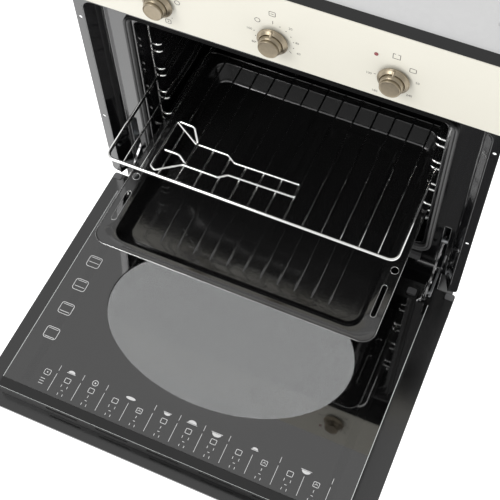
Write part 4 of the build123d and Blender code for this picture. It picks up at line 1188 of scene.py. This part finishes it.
@dataclass
class Tray:
    """The pressed baking tray: flat rim with hand slots, round shoulders, sloping walls and ribbed floor."""

    sheet: float = 1.2
    thinned: float = 0.25
    sunk: float = 0.15
    rim_side: float = 26.0
    rim_end: float = 15.0
    rim_step: float = 0.8
    corner: float = 20.0
    well_corner: float = 22.0
    corner_share: float = 0.3
    well: float = 38.0
    draft_side: float = 11.0
    draft_front: float = 26.0
    draft_back: float = 9.0
    shoulder: float = 4.5
    shoulder_share: float = 0.3
    foot: float = 11.0
    foot_share: float = 0.45
    bead: float = 0.9
    bead_drop: float = 0.25
    rib_pitch: float = 27.0
    rib_width: float = 4.4
    rib_height: float = 1.2
    rib_front_room: float = 14.0
    rib_back_room: float = 24.0
    ribs_each_side: int = 5
    slot_x: float = 204.0
    slot_y: float = -117.0
    slot_width: float = 8.0
    slot_length: float = 55.0
    slot_flat: float = 0.01
    hole_x: float = 208.0
    hole_y: float = -62.0
    hole_radius: float = 6.0
    cut_reach: float = 6.0
    collar: float = 0.6
    collar_drop: float = 0.3
    edge_swell: float = 0.15
    edge_drop: float = 0.6
    edge_first: int = 26
    edge_points: int = 20

    def loop(self, low: np.ndarray, high: np.ndarray, inset: Vec3, radius: float, z: float) -> np.ndarray:
        """A rounded rectangle inside the tray's outline.

        Args:
            low: The tray's lowest corner.
            high: The tray's highest corner.
            inset: Distance from the outline at the sides, the front and the back.
            radius: Corner radius.
            z: Height.

        Returns:
            Rows of points.
        """
        middle = (low[1] + high[1]) / 2
        side, front, back = inset
        flat = rounded_rectangle(high[0] - side, low[1] + front - middle, high[1] - back - middle, radius, 9)
        return level(flat + np.array([0.0, middle]), z)

    def rings(self, low: np.ndarray, high: np.ndarray) -> np.ndarray:
        """Rolled bead, rim, shoulder, wall, foot and floor edge.

        The bead is an arc from below the rim over its outer edge. Shoulder and foot are quarter arcs: the
        share of the wall's run and fall follows sine and cosine.

        Args:
            low: The tray's lowest corner.
            high: The tray's highest corner.

        Returns:
            Grid of points, one ring for each step.
        """
        top = high[2] - self.sunk
        rings = []
        for turn in np.linspace(-0.5 * pi, 0.9 * pi, 9):
            inset = self.bead * (1 - cos(turn))
            z = top - self.bead_drop + self.bead * sin(turn)
            rings.append(self.loop(low, high, (inset,) * 3, self.corner, z))
        flow = [(self.shoulder_share * self.shoulder * sin(turn), self.shoulder * (1 - cos(turn)))
                for turn in np.linspace(0.0, pi / 2, 6)]
        bottom, inward = self.well - self.sheet, self.foot_share * self.foot
        flow += [(self.draft_side - inward * sin(turn), bottom - self.foot * (1 - cos(turn)))
                 for turn in np.linspace(pi / 2, 0.0, 7)]
        end = self.rim_end - self.rim_step
        for run, fall in flow:
            share = run / self.draft_side
            inset = (self.rim_side - self.rim_step + run, end + share * self.draft_front,
                     end + share * self.draft_back)
            rings.append(self.loop(low, high, inset, self.well_corner - run * self.corner_share, top - fall))
        return np.array(rings)

    def cutouts(self) -> list[np.ndarray]:
        """The outlines of both hand slots and both stop holes.

        Returns:
            Rows of X and Y for each outline.
        """
        half, reach = self.slot_width / 2, self.slot_length / 2
        slot = rounded_rectangle(half, -reach, reach, half - self.slot_flat, 8)
        slots = [slot + np.array([side.value * self.slot_x, self.slot_y]) for side in Side]
        holes = [circle(self.hole_radius, (side.value * self.hole_x, self.hole_y)) for side in Side]
        return slots + holes

    def edges(self, low: np.ndarray, high: np.ndarray) -> None:
        """Rolls a collar about each hand slot and stop hole, and a wire along the rim's front and left, both
        in pale metal that paints the highlight on these glossy rolled edges.

        Args:
            low: The tray's lowest corner.
            high: The tray's highest corner.
        """
        collars = Shell()
        for flat in self.cutouts():
            collars.wire(level(flat, high[2] - self.collar_drop), self.collar, 10, True)
        collars.piece("tray_collars", "tray", PAINTED_HIGHLIGHT_EDGE, "tray_enamel")
        rim = self.loop(low, high, (self.bead,) * 3, self.corner, high[2] - self.edge_drop)
        edge = np.roll(rim, -self.edge_first, axis=0)[:self.edge_points]
        # Painted highlight: a pale wire only along the front and left of the rim, where the light glints.
        highlight_wire = Shell().wire(edge, self.bead + self.edge_swell, 12)
        highlight_wire.piece("tray_worn_edge", "tray", PAINTED_HIGHLIGHT_EDGE, "tray_enamel")

    def ribs(self, low: np.ndarray, high: np.ndarray) -> None:
        """Raises the ribs of the floor.

        Args:
            low: The tray's lowest corner.
            high: The tray's highest corner.
        """
        floor = high[2] - self.well + self.sheet
        front = low[1] + self.rim_end + self.draft_front + self.rib_front_room
        back = high[1] - self.rim_end - self.draft_back - self.rib_back_room
        form = ridge(back - front, self.rib_width, self.rib_height)
        shell = Shell()
        for step in range(-self.ribs_each_side, self.ribs_each_side + 1):
            middle = (self.rib_pitch * step, (front + back) / 2, floor)
            shell.grid(turned_to(form, FORE_AND_AFT, (-1.0, 0.0, 0.0), middle), wrap_columns=False)
        shell.piece("tray_ribs", "tray", TRAY_ENAMEL, "tray_enamel")

    def build(self) -> None:
        """Draws the tray down from its rim, cuts the slots and holes and adds the edges and ribs."""
        low, high = corners_of("baking_tray")
        rings = self.rings(low, high)
        bottom, top = high[2] - self.cut_reach, high[2] + self.cut_reach
        cutters = tuple(prism(flat, Axis.Z, bottom, top) for flat in self.cutouts())
        shell = Shell().grid(rings, flip=True).face(rings[-1])
        shell.piece("enamel_tray", "tray", TRAY_ENAMEL, "tray_enamel", ("baking_tray",),
                    wall=self.sheet - self.thinned, cutters=cutters)
        self.edges(low, high)
        self.ribs(low, high)


@dataclass
class Knob:
    """A turned bronze knob: a dished skirt, a tapering neck, a bead, a recessed cap and a pointer rib."""

    node: str
    body: str
    skirt: float = 20.5
    neck: float = 15.6
    waist: float = 13.6
    cap: float = 14.6
    length: float = 15.6
    bore: float = 3.1
    rib_half: float = 1.7
    rib_start: float = 1.0
    rib_run: float = 8.2
    rib_crown: float = 1.6
    rib_wall: float = 2.4

    def profile(self) -> np.ndarray:
        """The turned form, from the knob's back out to the middle of its cap.

        Returns:
            Rows of radius and distance from the back.
        """
        skirt, neck, cap, tip = self.skirt, self.neck, self.cap, self.length
        rows = [
            (self.bore, 0.0), (skirt - 0.9, 0.0), (skirt - 0.25, 0.25), (skirt, 0.9), (skirt, 1.5),
            (skirt - 0.3, 2.0), (skirt - 0.9, 2.2), (skirt - 1.2, 2.1), (skirt - 2.2, 2.9),
            (skirt - 3.4, 4.3), (neck + 0.7, 5.5), (neck + 0.4, 5.7), (neck + 0.1, 5.6),
            (neck - 0.9, 4.9), (neck - 0.9, 5.3), (neck - 0.6, 6.0), (neck - 1.3, tip - 6.4),
            (self.waist - 0.1, tip - 5.4), (cap - 0.7, tip - 5.1),
            (cap - 0.2, tip - 4.8), (cap, tip - 4.4), (cap - 0.2, tip - 4.0), (cap - 0.7, tip - 3.8),
            (cap - 1.9, tip - 3.7), (cap - 2.0, tip - 3.3), (cap - 1.5, tip - 2.9), (cap - 1.3, tip - 2.4),
            (cap - 1.3, tip - 0.8), (cap - 1.45, tip - 0.3), (cap - 1.8, tip), (cap - 2.3, tip),
            (cap - 2.6, tip - 0.25), (cap - 2.8, tip - 0.5), (cap - 3.4, tip - 0.55), (0.02, tip - 0.5),
        ]
        return np.array(rows)

    def pointer(self, centre: np.ndarray, back: float) -> np.ndarray:
        """A small rib over skirt and neck: its top falls to the waist, its sides by a fourth power.

        Args:
            centre: Middle of the knob.
            back: Depth of the knob's back.

        Returns:
            Grid of points, rows along and columns across.
        """
        along = np.linspace(0.0, 1.0, 10)
        across = np.linspace(-1.0, 1.0, 7)
        heights = [self.skirt - 0.8, self.skirt - 1.2, self.neck + 0.4, self.waist - 0.6]
        top = np.interp(along, [0.0, 0.35, 0.75, 1.0], heights)
        grid = np.empty((len(along), len(across), 3))
        grid[:, :, 0] = centre[0] + across[None, :] * self.rib_half
        grid[:, :, 1] = (back - self.rib_start - along * self.rib_run)[:, None]
        grid[:, :, 2] = centre[2] + top[:, None] - self.rib_crown * across[None, :] ** 4
        return grid

    def build(self) -> None:
        """Turns the knob about its spindle and adds the pointer."""
        low, high = corners_of(self.node)
        centre, back = (low + high) / 2, high[1]
        shell = Shell().lathe(self.profile(), 72, (centre[0], back, centre[2]), Axis.Y, -1.0)
        shell.piece(f"turned_{self.node}", self.body, AGED_BRONZE, "aged_bronze", (self.node,), sharp=50.0)
        rib = Shell().grid(self.pointer(centre, back), wrap_columns=False)
        rib.piece(f"{self.node}_pointer", self.body, AGED_BRONZE, "aged_bronze", wall=self.rib_wall,
                  sharp=50.0)


@dataclass(frozen=True)
class Dial:
    """What is printed round one knob, each mark by its place from the knob's middle.

    Dots have a clockwise angle from the top and a reach. Boxes have a middle, a width, a height and a corner.
    """

    knob: str
    dots: tuple[Vec2, ...] = ()
    numbers: tuple[tuple[str, float, float], ...] = ()
    strokes: tuple[tuple[Vec2, ...], ...] = ()
    boxes: tuple[tuple[float, float, float, float, float], ...] = ()
    rings: tuple[Vec2, ...] = ()
    spots: tuple[Vec2, ...] = ()


@dataclass
class DialMarks:
    """Dark printed ticks, dots and plain numbers round the three knobs."""

    lift: float = 0.06
    line: float = 0.8
    dot: float = 0.75
    spot: float = 0.9
    ring: float = 3.4
    digit: float = 3.6
    dials: tuple[Dial, ...] = (
        Dial(
            "middle_knob",
            dots=((18.4, 26.5), (37.8, 26.5), (58.4, 26.5), (77.4, 26.5), (99.2, 26.5), (-78.5, 26.3),
                  (-97.0, 24.1), (-120.9, 27.8)),
            numbers=(("40", 30.6, 6.1), ("20", 21.9, 27.4), ("60", 33.0, -11.5), ("100", -32.2, 6.4),
                     ("80", -27.0, -15.0)),
            strokes=(((-1.0, 26.4), (-1.0, 31.4)), ((20.9, -11.7), (23.4, -14.4)),
                     ((-3.6, 42.8), (0.4, 42.8))),
            boxes=((-1.6, 42.8, 8.0, 7.0, 1.2),),
            rings=((-21.0, 25.4),),
        ),
        Dial(
            "right_knob",
            numbers=(("100", -32.2, -4.2), ("180", -22.6, -32.5), ("240", 20.4, -22.0), ("50", 28.0, 4.0)),
            strokes=(((-2.4, 41.4), (-5.6, 41.4), (-5.6, 34.0), (3.4, 34.0), (3.4, 41.4), (0.4, 41.4)),
                     ((-26.0, -2.9), (-23.4, -2.5)), ((11.6, -16.6), (13.4, -18.8))),
            boxes=((20.4, 22.7, 8.0, 6.4, 1.2),),
        ),
        Dial(
            "left_knob",
            dots=((0.0, 26.5), (38.0, 26.5), (142.0, 26.5), (-38.0, 26.5), (-76.0, 26.5)),
            boxes=((10.2, -29.0, 7.5, 7.0, 1.4),),
            rings=((26.2, 10.0),),
            spots=((10.2, -29.0),),
        ),
    )

    def draw(self, marks: Print, dial: Dial) -> None:
        """Adds the marks of one dial.

        Args:
            marks: The print on the panel.
            dial: What is printed round the knob.
        """
        low, high = corners_of(dial.knob)
        x, z = (low[0] + high[0]) / 2, (low[2] + high[2]) / 2
        for angle, reach in dial.dots:
            turn = radians(angle)
            marks.blob(circle(self.dot, sides=12), (x + reach * sin(turn), z + reach * cos(turn)))
        for text, right, up in dial.numbers:
            marks.number(text, (x + right, z + up), self.digit)
        for points in dial.strokes:
            marks.stroke(np.array(points) + np.array([x, z]), self.line)
        for right, up, width, height, corner in dial.boxes:
            marks.frame((x + right, z + up), width, height, corner, self.line)
        for right, up in dial.rings:
            marks.stroke(circle(self.ring, (x + right, z + up), 16), self.line, closed=True)
        for right, up in dial.spots:
            marks.blob(circle(self.spot, sides=12), (x + right, z + up))

    def build(self) -> None:
        """Draws the three dials on the panel's face."""
        marks = Print(Axis.Y, corners_of("panel_fascia")[0][1] - self.lift)
        for dial in self.dials:
            self.draw(marks, dial)
        marks.piece("dial_marks", "oven_body", PRINT_DARK, "cream_enamel")


@dataclass
class GlassPrint:
    """The pale print on the door's inner glass: shelf marks and a row of plain symbols between dividers.

    Each shelf mark has the Y of its top and the drop of its bar. A dish has its place in pitches, its width
    and whether it is a lid. Rows of strokes have the Y of both ends.
    """

    lift: float = 0.06
    fine: float = 0.7
    line: float = 0.8
    bold: float = 0.9
    shelf_x: float = -235.0
    shelves: tuple[Vec2, ...] = ((-166.6, 10.8), (-210.5, 12.7), (-254.3, 14.7), (-298.1, 16.5))
    shelf_width: float = 20.5
    shelf_height: float = 18.8
    shelf_corner: float = 3.5
    ceiling_inset: float = 2.6
    bar_inset: float = 2.2
    first: float = -194.5
    pitch: float = 38.8
    half_pitch: float = 19.6
    dividers: int = 12
    divider: Vec2 = (-361.0, -390.0)
    short_divider: Vec2 = (-348.0, -356.5)
    lone: tuple[int, ...] = (3, 8, 10)
    symbol_y: float = -353.0
    dishes: tuple[tuple[float, float, bool], ...] = (
        (0.5, 11.0, True), (4.5, 10.0, False), (5.5, 13.0, True), (6.5, 14.0, False), (8.0, 9.0, True),
        (10.0, 13.0, False),
    )
    dish_rise: float = 0.36
    plate_half: float = 0.62
    plate_drop: float = 0.9
    platter: Vec2 = (7.5, 2.3)
    platter_place: int = 3
    platter_drop: float = 0.5
    ring: float = 4.2
    ring_dot: float = 1.3
    square_y: float = -365.5
    square: Vec3 = (8.4, 7.2, 1.2)
    roofed: tuple[int, ...] = (4, 9, 11)
    roof: Vec3 = (2.2, -366.6, -364.0)
    paired: tuple[int, ...] = (1, 3, 6, 7, 8, 10)
    pair_half: float = 4.7
    upper_strokes: Vec2 = (-373.6, -377.4)
    dash_y: float = -382.0
    dash_half: float = 1.6
    lower_half: float = 3.7
    lower_strokes: Vec2 = (-386.8, -390.2)
    heading: Vec2 = (-208.5, -364.6)
    heading_box: Vec3 = (9.5, 8.5, 2.2)
    heading_dot: float = 1.1
    heading_bars: Vec2 = (-213.5, -206.5)
    heading_rows: tuple[float, ...] = (-375.5, -379.5, -383.5)

    def shelf(self, marks: Print, top: float, bar: float) -> None:
        """Adds one oven outline with its ceiling line and a bar at the shelf's level.

        Args:
            marks: The print on the glass.
            top: Y of the outline's upper side.
            bar: Drop of the bar below it.
        """
        x, half = self.shelf_x, self.shelf_width / 2
        centre = (x, top - self.shelf_height / 2)
        marks.frame(centre, self.shelf_width, self.shelf_height, self.shelf_corner, self.bold)
        marks.level_line(x, half - self.ceiling_inset, top - self.ceiling_inset, self.line)
        marks.level_line(x, half - self.bar_inset, top - bar, self.bold)

    def dish(self, marks: Print, x: float, width: float, lidded: bool) -> None:
        """Adds a plain bowl, a half ellipse with its flat side up, or the same turned over as a lid.

        Args:
            marks: The print on the glass.
            x: Middle of the dish.
            width: Its width.
            lidded: True for a lid.
        """
        turn = np.linspace(0.0, pi, 13)
        sign = 1.0 if lidded else -1.0
        outline = np.stack([np.cos(turn) * width / 2, np.sin(turn) * width * self.dish_rise * sign], axis=1)
        marks.blob(outline if lidded else outline[::-1], (x, self.symbol_y))
        marks.level_line(x, width * self.plate_half, self.symbol_y - self.plate_drop * sign, self.line)

    def column(self, marks: Print, number: int) -> None:
        """Adds one column: a square, short strokes, a dash and a pair of strokes.

        Args:
            marks: The print on the glass.
            number: Which column, from the left.
        """
        x = self.first + self.pitch * (number - 1) + self.half_pitch
        width, height, corner = self.square
        marks.frame((x, self.square_y), width, height, corner, self.line)
        if number in self.roofed:
            half, low, high = self.roof
            marks.stroke([(x - half, low), (x, high), (x + half, low)], self.fine)
        for place in (-self.pair_half, self.pair_half) if number in self.paired else (0.0,):
            marks.upright_line(x + place, self.upper_strokes, self.line)
        marks.level_line(x, self.dash_half, self.dash_y, self.line)
        for place in (-self.lower_half, self.lower_half):
            marks.upright_line(x + place, self.lower_strokes, self.line)

    def title(self, marks: Print) -> None:
        """Adds the dotted box and three bars at the left.

        Args:
            marks: The print on the glass.
        """
        width, height, corner = self.heading_box
        marks.frame(self.heading, width, height, corner, self.line)
        marks.blob(circle(self.heading_dot, sides=12), self.heading)
        start, end = self.heading_bars
        for y in self.heading_rows:
            marks.stroke([(start, y), (end, y)], self.line)

    def symbols(self, marks: Print) -> None:
        """Adds the row of dishes, with a platter and a dotted ring.

        Args:
            marks: The print on the glass.
        """
        platter = (self.first + self.pitch * self.platter_place, self.symbol_y - self.platter_drop)
        marks.blob(circle(1.0, sides=24) * np.array(self.platter), platter)
        for place, width, lidded in self.dishes:
            self.dish(marks, self.first + self.pitch * place, width, lidded)
        ring = (self.first + self.pitch + self.half_pitch, self.symbol_y)
        marks.stroke(circle(self.ring, ring, 20), self.bold, closed=True)
        marks.blob(circle(self.ring_dot, sides=12), ring)

    def build(self) -> None:
        """Draws every mark and lays the print on the glass."""
        marks = Print(Axis.Z, corners_of("door_inner_glass")[1][2] + self.lift)
        for top, bar in self.shelves:
            self.shelf(marks, top, bar)
        self.title(marks)
        for place in range(self.dividers):
            x = self.first + self.pitch * place
            marks.upright_line(x, self.divider, self.fine)
            if place not in self.lone:
                marks.upright_line(x, self.short_divider, self.fine)
            if place:
                self.column(marks, place)
        self.symbols(marks)
        marks.piece("glass_print", "door", PRINT_WHITE, "black_glass")


@dataclass
class GlassEdges:
    """The pale ground arris along both sides of the door's glass and along the top of its trim."""

    inset: float = 0.3
    far_inset: float = 0.2
    drop: float = 0.1
    arris: float = 0.5
    trim_arris: float = 0.2

    def build(self) -> None:
        """Draws each arris as a fine round line."""
        low, high = corners_of("door_inner_glass")
        z = high[2] - self.drop
        half, near, far = high[0] - self.inset, high[1], low[1] + self.far_inset
        shell = Shell()
        for side in Side:
            x = half * side.value
            shell.wire(np.linspace([x, near, z], [x, far, z], 3), self.arris, 8)
        y = corners_of("door_top_trim")[0][1] + self.inset
        shell.wire(np.linspace([-half, y, z], [half, y, z], 3), self.trim_arris, 8)
        shell.piece("glass_ground_edges", "door", GROUND_EDGE, "black_glass")


@dataclass
class HingeFittings:
    """One hinge's small parts: studs through the check arm and a spring wire beside its pivot on the door."""

    side: Side
    inner_x: float = 253.1
    outer_x: float = 257.2
    pivot: Vec2 = (-34.0, 78.0)
    reach: float = 86.0
    rise: float = 55.0
    rivet: float = 3.1
    rivet_shares: tuple[float, ...] = (0.28, 0.50, 0.72)
    boss: float = 3.9
    boss_share: float = 0.90
    spring: tuple[Vec3, ...] = (
        (250.4, -7.0, 82.6), (250.4, -37.0, 82.9), (246.4, -41.0, 82.9), (246.4, -47.0, 79.0),
    )
    spring_bend: float = 2.0
    spring_wire: float = 0.8

    def stud(self, shell: Shell, share: float, radius: float) -> None:
        """Adds a round stud across the arm with a domed head on each side.

        Args:
            shell: Where the stud goes.
            share: How far along the arm it stands.
            radius: Its radius.
        """
        y, z = self.pivot[0] + self.reach * share, self.pivot[1] + self.rise * share
        width = self.outer_x - self.inner_x
        dome = [(0.02, 0.9), (radius * 0.5, 0.75), (radius * 0.85, 0.35), (radius, -0.1)]
        profile = [(r, -out) for r, out in dome] + [(r, width + out) for r, out in dome[::-1]]
        shell.lathe(profile, 20, (self.inner_x, y, z), Axis.X)

    def build(self) -> None:
        """Sets the studs on the arm and bends the spring wire on the door."""
        name = self.side.name.lower()
        studs = Shell()
        for share in self.rivet_shares:
            self.stud(studs, share, self.rivet)
        self.stud(studs, self.boss_share, self.boss)
        spring = Shell().wire(rounded_path(np.array(self.spring), self.spring_bend), self.spring_wire, 10)
        if self.side is Side.LEFT:
            studs, spring = studs.mirrored(), spring.mirrored()
        studs.piece(f"arm_studs_{name}", f"arm_{name}", BRIGHT_STEEL, "steel")
        spring.piece(f"hinge_spring_{name}", "door", BRIGHT_STEEL, "steel")


@dataclass
class FrameTabs:
    """The two dark sheet tabs under the recess that close the gap beside the base."""

    inner: float = 265.6
    outer: float = 291.0
    low: float = 12.0
    high: float = 71.0
    front: float = 26.0
    sheet: float = 1.2
    corner: float = 3.0
    edge: float = 0.3

    def build(self) -> None:
        """Cuts both tabs with rounded corners."""
        half = (self.high - self.low) / 2
        outline = rounded_rectangle(half, self.inner, self.outer, self.corner, 5)
        right = prism(outline + np.array([self.low + half, 0.0]), Axis.Y, self.front, self.front + self.sheet)
        right.mirrored().piece("frame_tab_left", "oven_body", DARK_SATIN, "black_enamel", bevel=self.edge)
        right.piece("frame_tab_right", "oven_body", DARK_SATIN, "black_enamel", bevel=self.edge)


@dataclass
class HandleTrim:
    """Turned collars beside the handle's posts and a domed cap on each of its ends."""

    post: float = 190.0
    collar_shift: float = 11.0

    def build(self) -> None:
        """Turns the rings about the bar."""
        low, high = corners_of("handle_bar")
        end, r = high[0], (high[2] - low[2]) / 2
        y, z = ((low + high) / 2)[1:]
        collar = [(r - 0.3, -1.6), (r + 0.7, -1.6), (r + 1.1, -0.8), (r + 1.1, 0.8), (r + 0.7, 1.6),
                  (r - 0.3, 1.6)]
        cap = [(0.02, -7.0), (r - 0.4, -7.0), (r + 0.6, -6.6), (r + 0.9, -5.8), (r + 0.9, -2.4),
               (r + 0.5, -1.8), (r + 0.5, -1.2), (r + 0.9, -0.6), (r + 0.7, 0.2), (r - 0.6, 1.3),
               (r - 3.0, 2.2), (0.02, 2.6)]
        shell = Shell()
        for side in Side:
            for shift in (-self.collar_shift, self.collar_shift):
                shell.lathe(collar, 36, (side.value * (self.post + shift), y, z), Axis.X, closed=True)
            shell.lathe(cap, 36, (side.value * end, y, z), Axis.X, side.value)
        shell.piece("handle_trim", "door", AGED_BRONZE, "aged_bronze", sharp=50.0)


@dataclass
class CasingDress:
    """Pressed beads, louvres and pan-head screws of the casing. Forms have length, width and height."""

    screw: float = 4.2
    screw_inset: float = 12.0
    screw_row: float = 14.0
    back_shares: tuple[float, ...] = (-1.0, -0.5, 0.0, 0.5, 1.0)
    back_heights: tuple[float, ...] = (150.0, 290.0, 430.0)
    top_depths: tuple[float, ...] = (60.0, 210.0, 360.0, 500.0)
    side_bead: Vec3 = (380.0, 14.0, 2.4)
    side_heights: tuple[float, ...] = (120.0, 220.0, 320.0, 420.0, 520.0)
    side_middle: float = 270.0
    top_bead: Vec3 = (420.0, 14.0, 2.0)
    bead_depths: tuple[float, ...] = (300.0, 380.0, 460.0)
    louvre: Vec3 = (120.0, 9.0, 3.2)
    louvre_x: float = 120.0
    louvre_low: float = 470.0
    louvre_pitch: float = 14.0
    louvre_rows: int = 6

    def screws(self, half: float, back: float, top: float) -> None:
        """Sets a screw along each edge of the rear and top covers.

        Args:
            half: Half the casing's width.
            back: Depth of the rear cover's face.
            top: Height of the top cover's face.
        """
        r = self.screw
        head = [(0.02, -0.3), (r, -0.3), (r, 0.6), (r * 0.9, 1.2), (r * 0.62, 1.8), (r * 0.34, 2.0),
                (r * 0.3, 1.2), (0.02, 1.1)]
        edge = half - self.screw_inset
        rows = (self.screw_row, top - self.screw_row)
        rear = [(share * edge, z) for share in self.back_shares for z in rows]
        rear += [(side.value * edge, z) for side in Side for z in self.back_heights]
        shell = Shell()
        for x, z in rear:
            shell.lathe(head, 20, (x, back, z), Axis.Y)
        for side in Side:
            for y in self.top_depths:
                shell.lathe(head, 20, (side.value * edge, y, top), Axis.Z)
        shell.piece("casing_screws", "oven_body", BRIGHT_STEEL, "zinc_sheet")

    def beads(self, half: float, back: float, top: float) -> None:
        """Raises long beads on both sides and on the top, and a bank of louvres on the back.

        Args:
            half: Half the casing's width.
            back: Depth of the rear cover's face.
            top: Height of the top cover's face.
        """
        grids = []
        for side in Side:
            for z in self.side_heights:
                place = (side.value * half, self.side_middle, z)
                grids.append(turned_to(ridge(*self.side_bead), (0.0, side.value, 0.0), UPWARD, place))
            for row in range(self.louvre_rows):
                place = (side.value * self.louvre_x, back, self.louvre_low + self.louvre_pitch * row)
                grids.append(turned_to(ridge(*self.louvre), (-1.0, 0.0, 0.0), UPWARD, place))
        for y in self.bead_depths:
            grids.append(turned_to(ridge(*self.top_bead), (1.0, 0.0, 0.0), FORE_AND_AFT, (0.0, y, top)))
        shell = Shell()
        for grid in grids:
            shell.grid(grid, wrap_columns=False)
        shell.piece("casing_beads", "oven_body", ZINC_SHEET, "zinc_sheet", sharp=60.0)

    def build(self) -> None:
        """Makes the beads and the screws on the covers' faces."""
        half, back, _ = corners_of("rear_cover")[1]
        top = corners_of("top_cover")[1][2]
        self.beads(half, back, top)
        self.screws(half, back, top)


@dataclass
class Dressing:
    """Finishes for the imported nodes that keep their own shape."""

    finishes: dict[Finish, tuple[str, ...]] = field(default_factory=lambda: {
        BLACK_ENAMEL: ("front_frame",),
        CAVITY_ENAMEL: ("cavity_liner", "floor_plate"),
        CREAM_ENAMEL: ("panel_fascia",),
        SIGNAL_RED: ("panel_lamp",),
        DARK_SATIN: ("panel_support", "grill_element", "bottom_trim", "door_top_trim"),
        BLACK_DOOR: ("door_outer_panel", "door_profile_right", "door_profile_left", "door_bottom_rail"),
        DARK_GLASS: ("door_inner_glass",),
        CLEAR_GLASS: ("lamp_glass", "lamp_bulb", "oval_window_glass", "door_middle_glass"),
        SEAL_RUBBER: ("glass_seals",),
        GREY_PLASTIC: ("frame_buffers", "door_corner_pads"),
        WHITE_PLASTIC: ("timer_case", "selector_switch", "terminal_block"),
        AGED_BRONZE: ("handle_bar", "handle_posts"),
        HINGE_STEEL: ("hinge_plate_right", "hinge_plate_left", "check_arm_right", "check_arm_left"),
        BRIGHT_STEEL: ("ladder_screws", "burner", "flame_probe", "grill_clips", "handle_screws",
                       "tap_spindle", "timer_spindle", "selector_spindle"),
        ZINC_SHEET: ("hinge_receiver_right", "hinge_receiver_left", "flue_duct", "casing_wrap", "rear_cover"),
        LIGHT_COVER: ("top_cover",),
        CAST_ALUMINIUM: ("gas_tap", "supply_pipe", "burner_pipe"),
        TURNED_BRASS: ("gas_inlet", "tap_plug"),
        STEATITE: ("lamp_holder",),
        MINERAL_WOOL: ("insulation_blanket",),
    })

    def build(self, nodes: dict[str, bpy.types.Object]) -> None:
        """Puts each finish into every material slot of its nodes.

        Args:
            nodes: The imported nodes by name.
        """
        for finish, names in self.finishes.items():
            for node in (nodes[name] for name in names):
                if not node.material_slots:
                    node.data.materials.append(finish.material())
                for place in node.material_slots:
                    place.material = finish.material()
            LOG.info("%s: %s", finish.name, ", ".join(names))


@dataclass
class Studio:
    """The floor, the even light and the camera of the photograph.

    The camera's angles are in degrees, from looking straight down with its top towards plus Y. The key
    light's places and size are in metres.
    """

    eye: Vec3 = (336.06, -776.75, 1440.82)
    camera_turn: float = 22.9485
    camera_tilt: float = 31.9689
    camera_roll: float = 0.1892
    focal_pixels: float = 1008.51
    picture_pixels: float = 500.0
    centre_pixels: Vec2 = (282.67, 223.46)
    sensor: float = 36.0
    clip: Vec2 = (0.01, 50.0)
    floor_half: float = 6000.0
    floor_drop: float = 0.5
    sky: float = 0.86
    key_power: float = 60.0
    key_place: Vec3 = (-1.6, -1.9, 2.6)
    key_aim: Vec3 = (0.0, 0.1, 0.3)
    key_size: float = 1.6

    def camera(self) -> None:
        """Stands the camera where the photograph was taken from: it rolls, then tilts, then turns."""
        lens = bpy.data.cameras.new("photograph_camera")
        lens.sensor_width = self.sensor
        lens.lens = self.focal_pixels / self.picture_pixels * self.sensor
        lens.shift_x = 0.5 - self.centre_pixels[0] / self.picture_pixels
        lens.shift_y = self.centre_pixels[1] / self.picture_pixels - 0.5
        lens.clip_start, lens.clip_end = self.clip
        made = bpy.data.objects.new("photograph_camera", lens)
        turns = ((self.camera_turn, "Z"), (self.camera_tilt, "X"), (self.camera_roll, "Z"))
        turn, tilt, roll = (Matrix.Rotation(radians(angle), 4, axis) for angle, axis in turns)
        made.matrix_world = Matrix.Translation([n * MM for n in self.eye]) @ turn @ tilt @ roll
        bpy.context.scene.collection.objects.link(made)
        bpy.context.scene.camera = made

    def floor(self) -> None:
        """Lays a pale floor under the oven's base."""
        line = np.linspace(-self.floor_half, self.floor_half, 9)
        flat = np.stack(np.meshgrid(line, line, indexing="ij"), axis=-1)
        made = Shell().grid(level(flat, -self.floor_drop), wrap_columns=False).bare("floor")
        settle(made)
        made.data.materials.append(STUDIO_FLOOR.material())

    def light(self) -> None:
        """Sets an even pale sky and one large soft key light."""
        world = bpy.data.worlds.new("studio_sky")
        world.use_nodes = True
        sky = world.node_tree.nodes["Background"]
        sky.inputs["Color"].default_value = (1.0, 1.0, 1.0, 1.0)
        sky.inputs["Strength"].default_value = self.sky
        bpy.context.scene.world = world
        lamp = bpy.data.lights.new("key", "AREA")
        lamp.energy = self.key_power
        lamp.shape = "DISK"
        lamp.size = self.key_size
        made = bpy.data.objects.new("key", lamp)
        back = np.array(self.key_place) - np.array(self.key_aim)
        back = back / np.linalg.norm(back)
        side = np.cross(UPWARD, back)
        side = side / np.linalg.norm(side)
        place = np.eye(4)
        place[:3] = np.stack([side, np.cross(back, side), back, self.key_place], axis=1)
        made.matrix_world = Matrix(place.tolist())
        bpy.context.scene.collection.objects.link(made)

    def build(self) -> None:
        """Sets up camera, floor, light and plain colour handling."""
        self.camera()
        self.floor()
        self.light()
        bpy.context.scene.view_settings.view_transform = "Standard"


def main() -> None:
    """Builds every piece in order."""
    logging.basicConfig(level=logging.INFO, format="%(name)s %(message)s")
    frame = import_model()
    Dressing().build(frame["nodes"])
    FrameRolls().build()
    Seal().build()
    for side in Side:
        WireLadder(side).build()
    WireRack().build()
    Lifter().build()
    Tray().build()
    Knob("left_knob", "tap_knob").build()
    Knob("middle_knob", "timer_knob").build()
    Knob("right_knob", "selector_knob").build()
    DialMarks().build()
    GlassPrint().build()
    GlassEdges().build()
    for side in Side:
        HingeFittings(side).build()
    FrameTabs().build()
    HandleTrim().build()
    CasingDress().build()
    Studio().build()


if __name__ == "__main__":
    main()
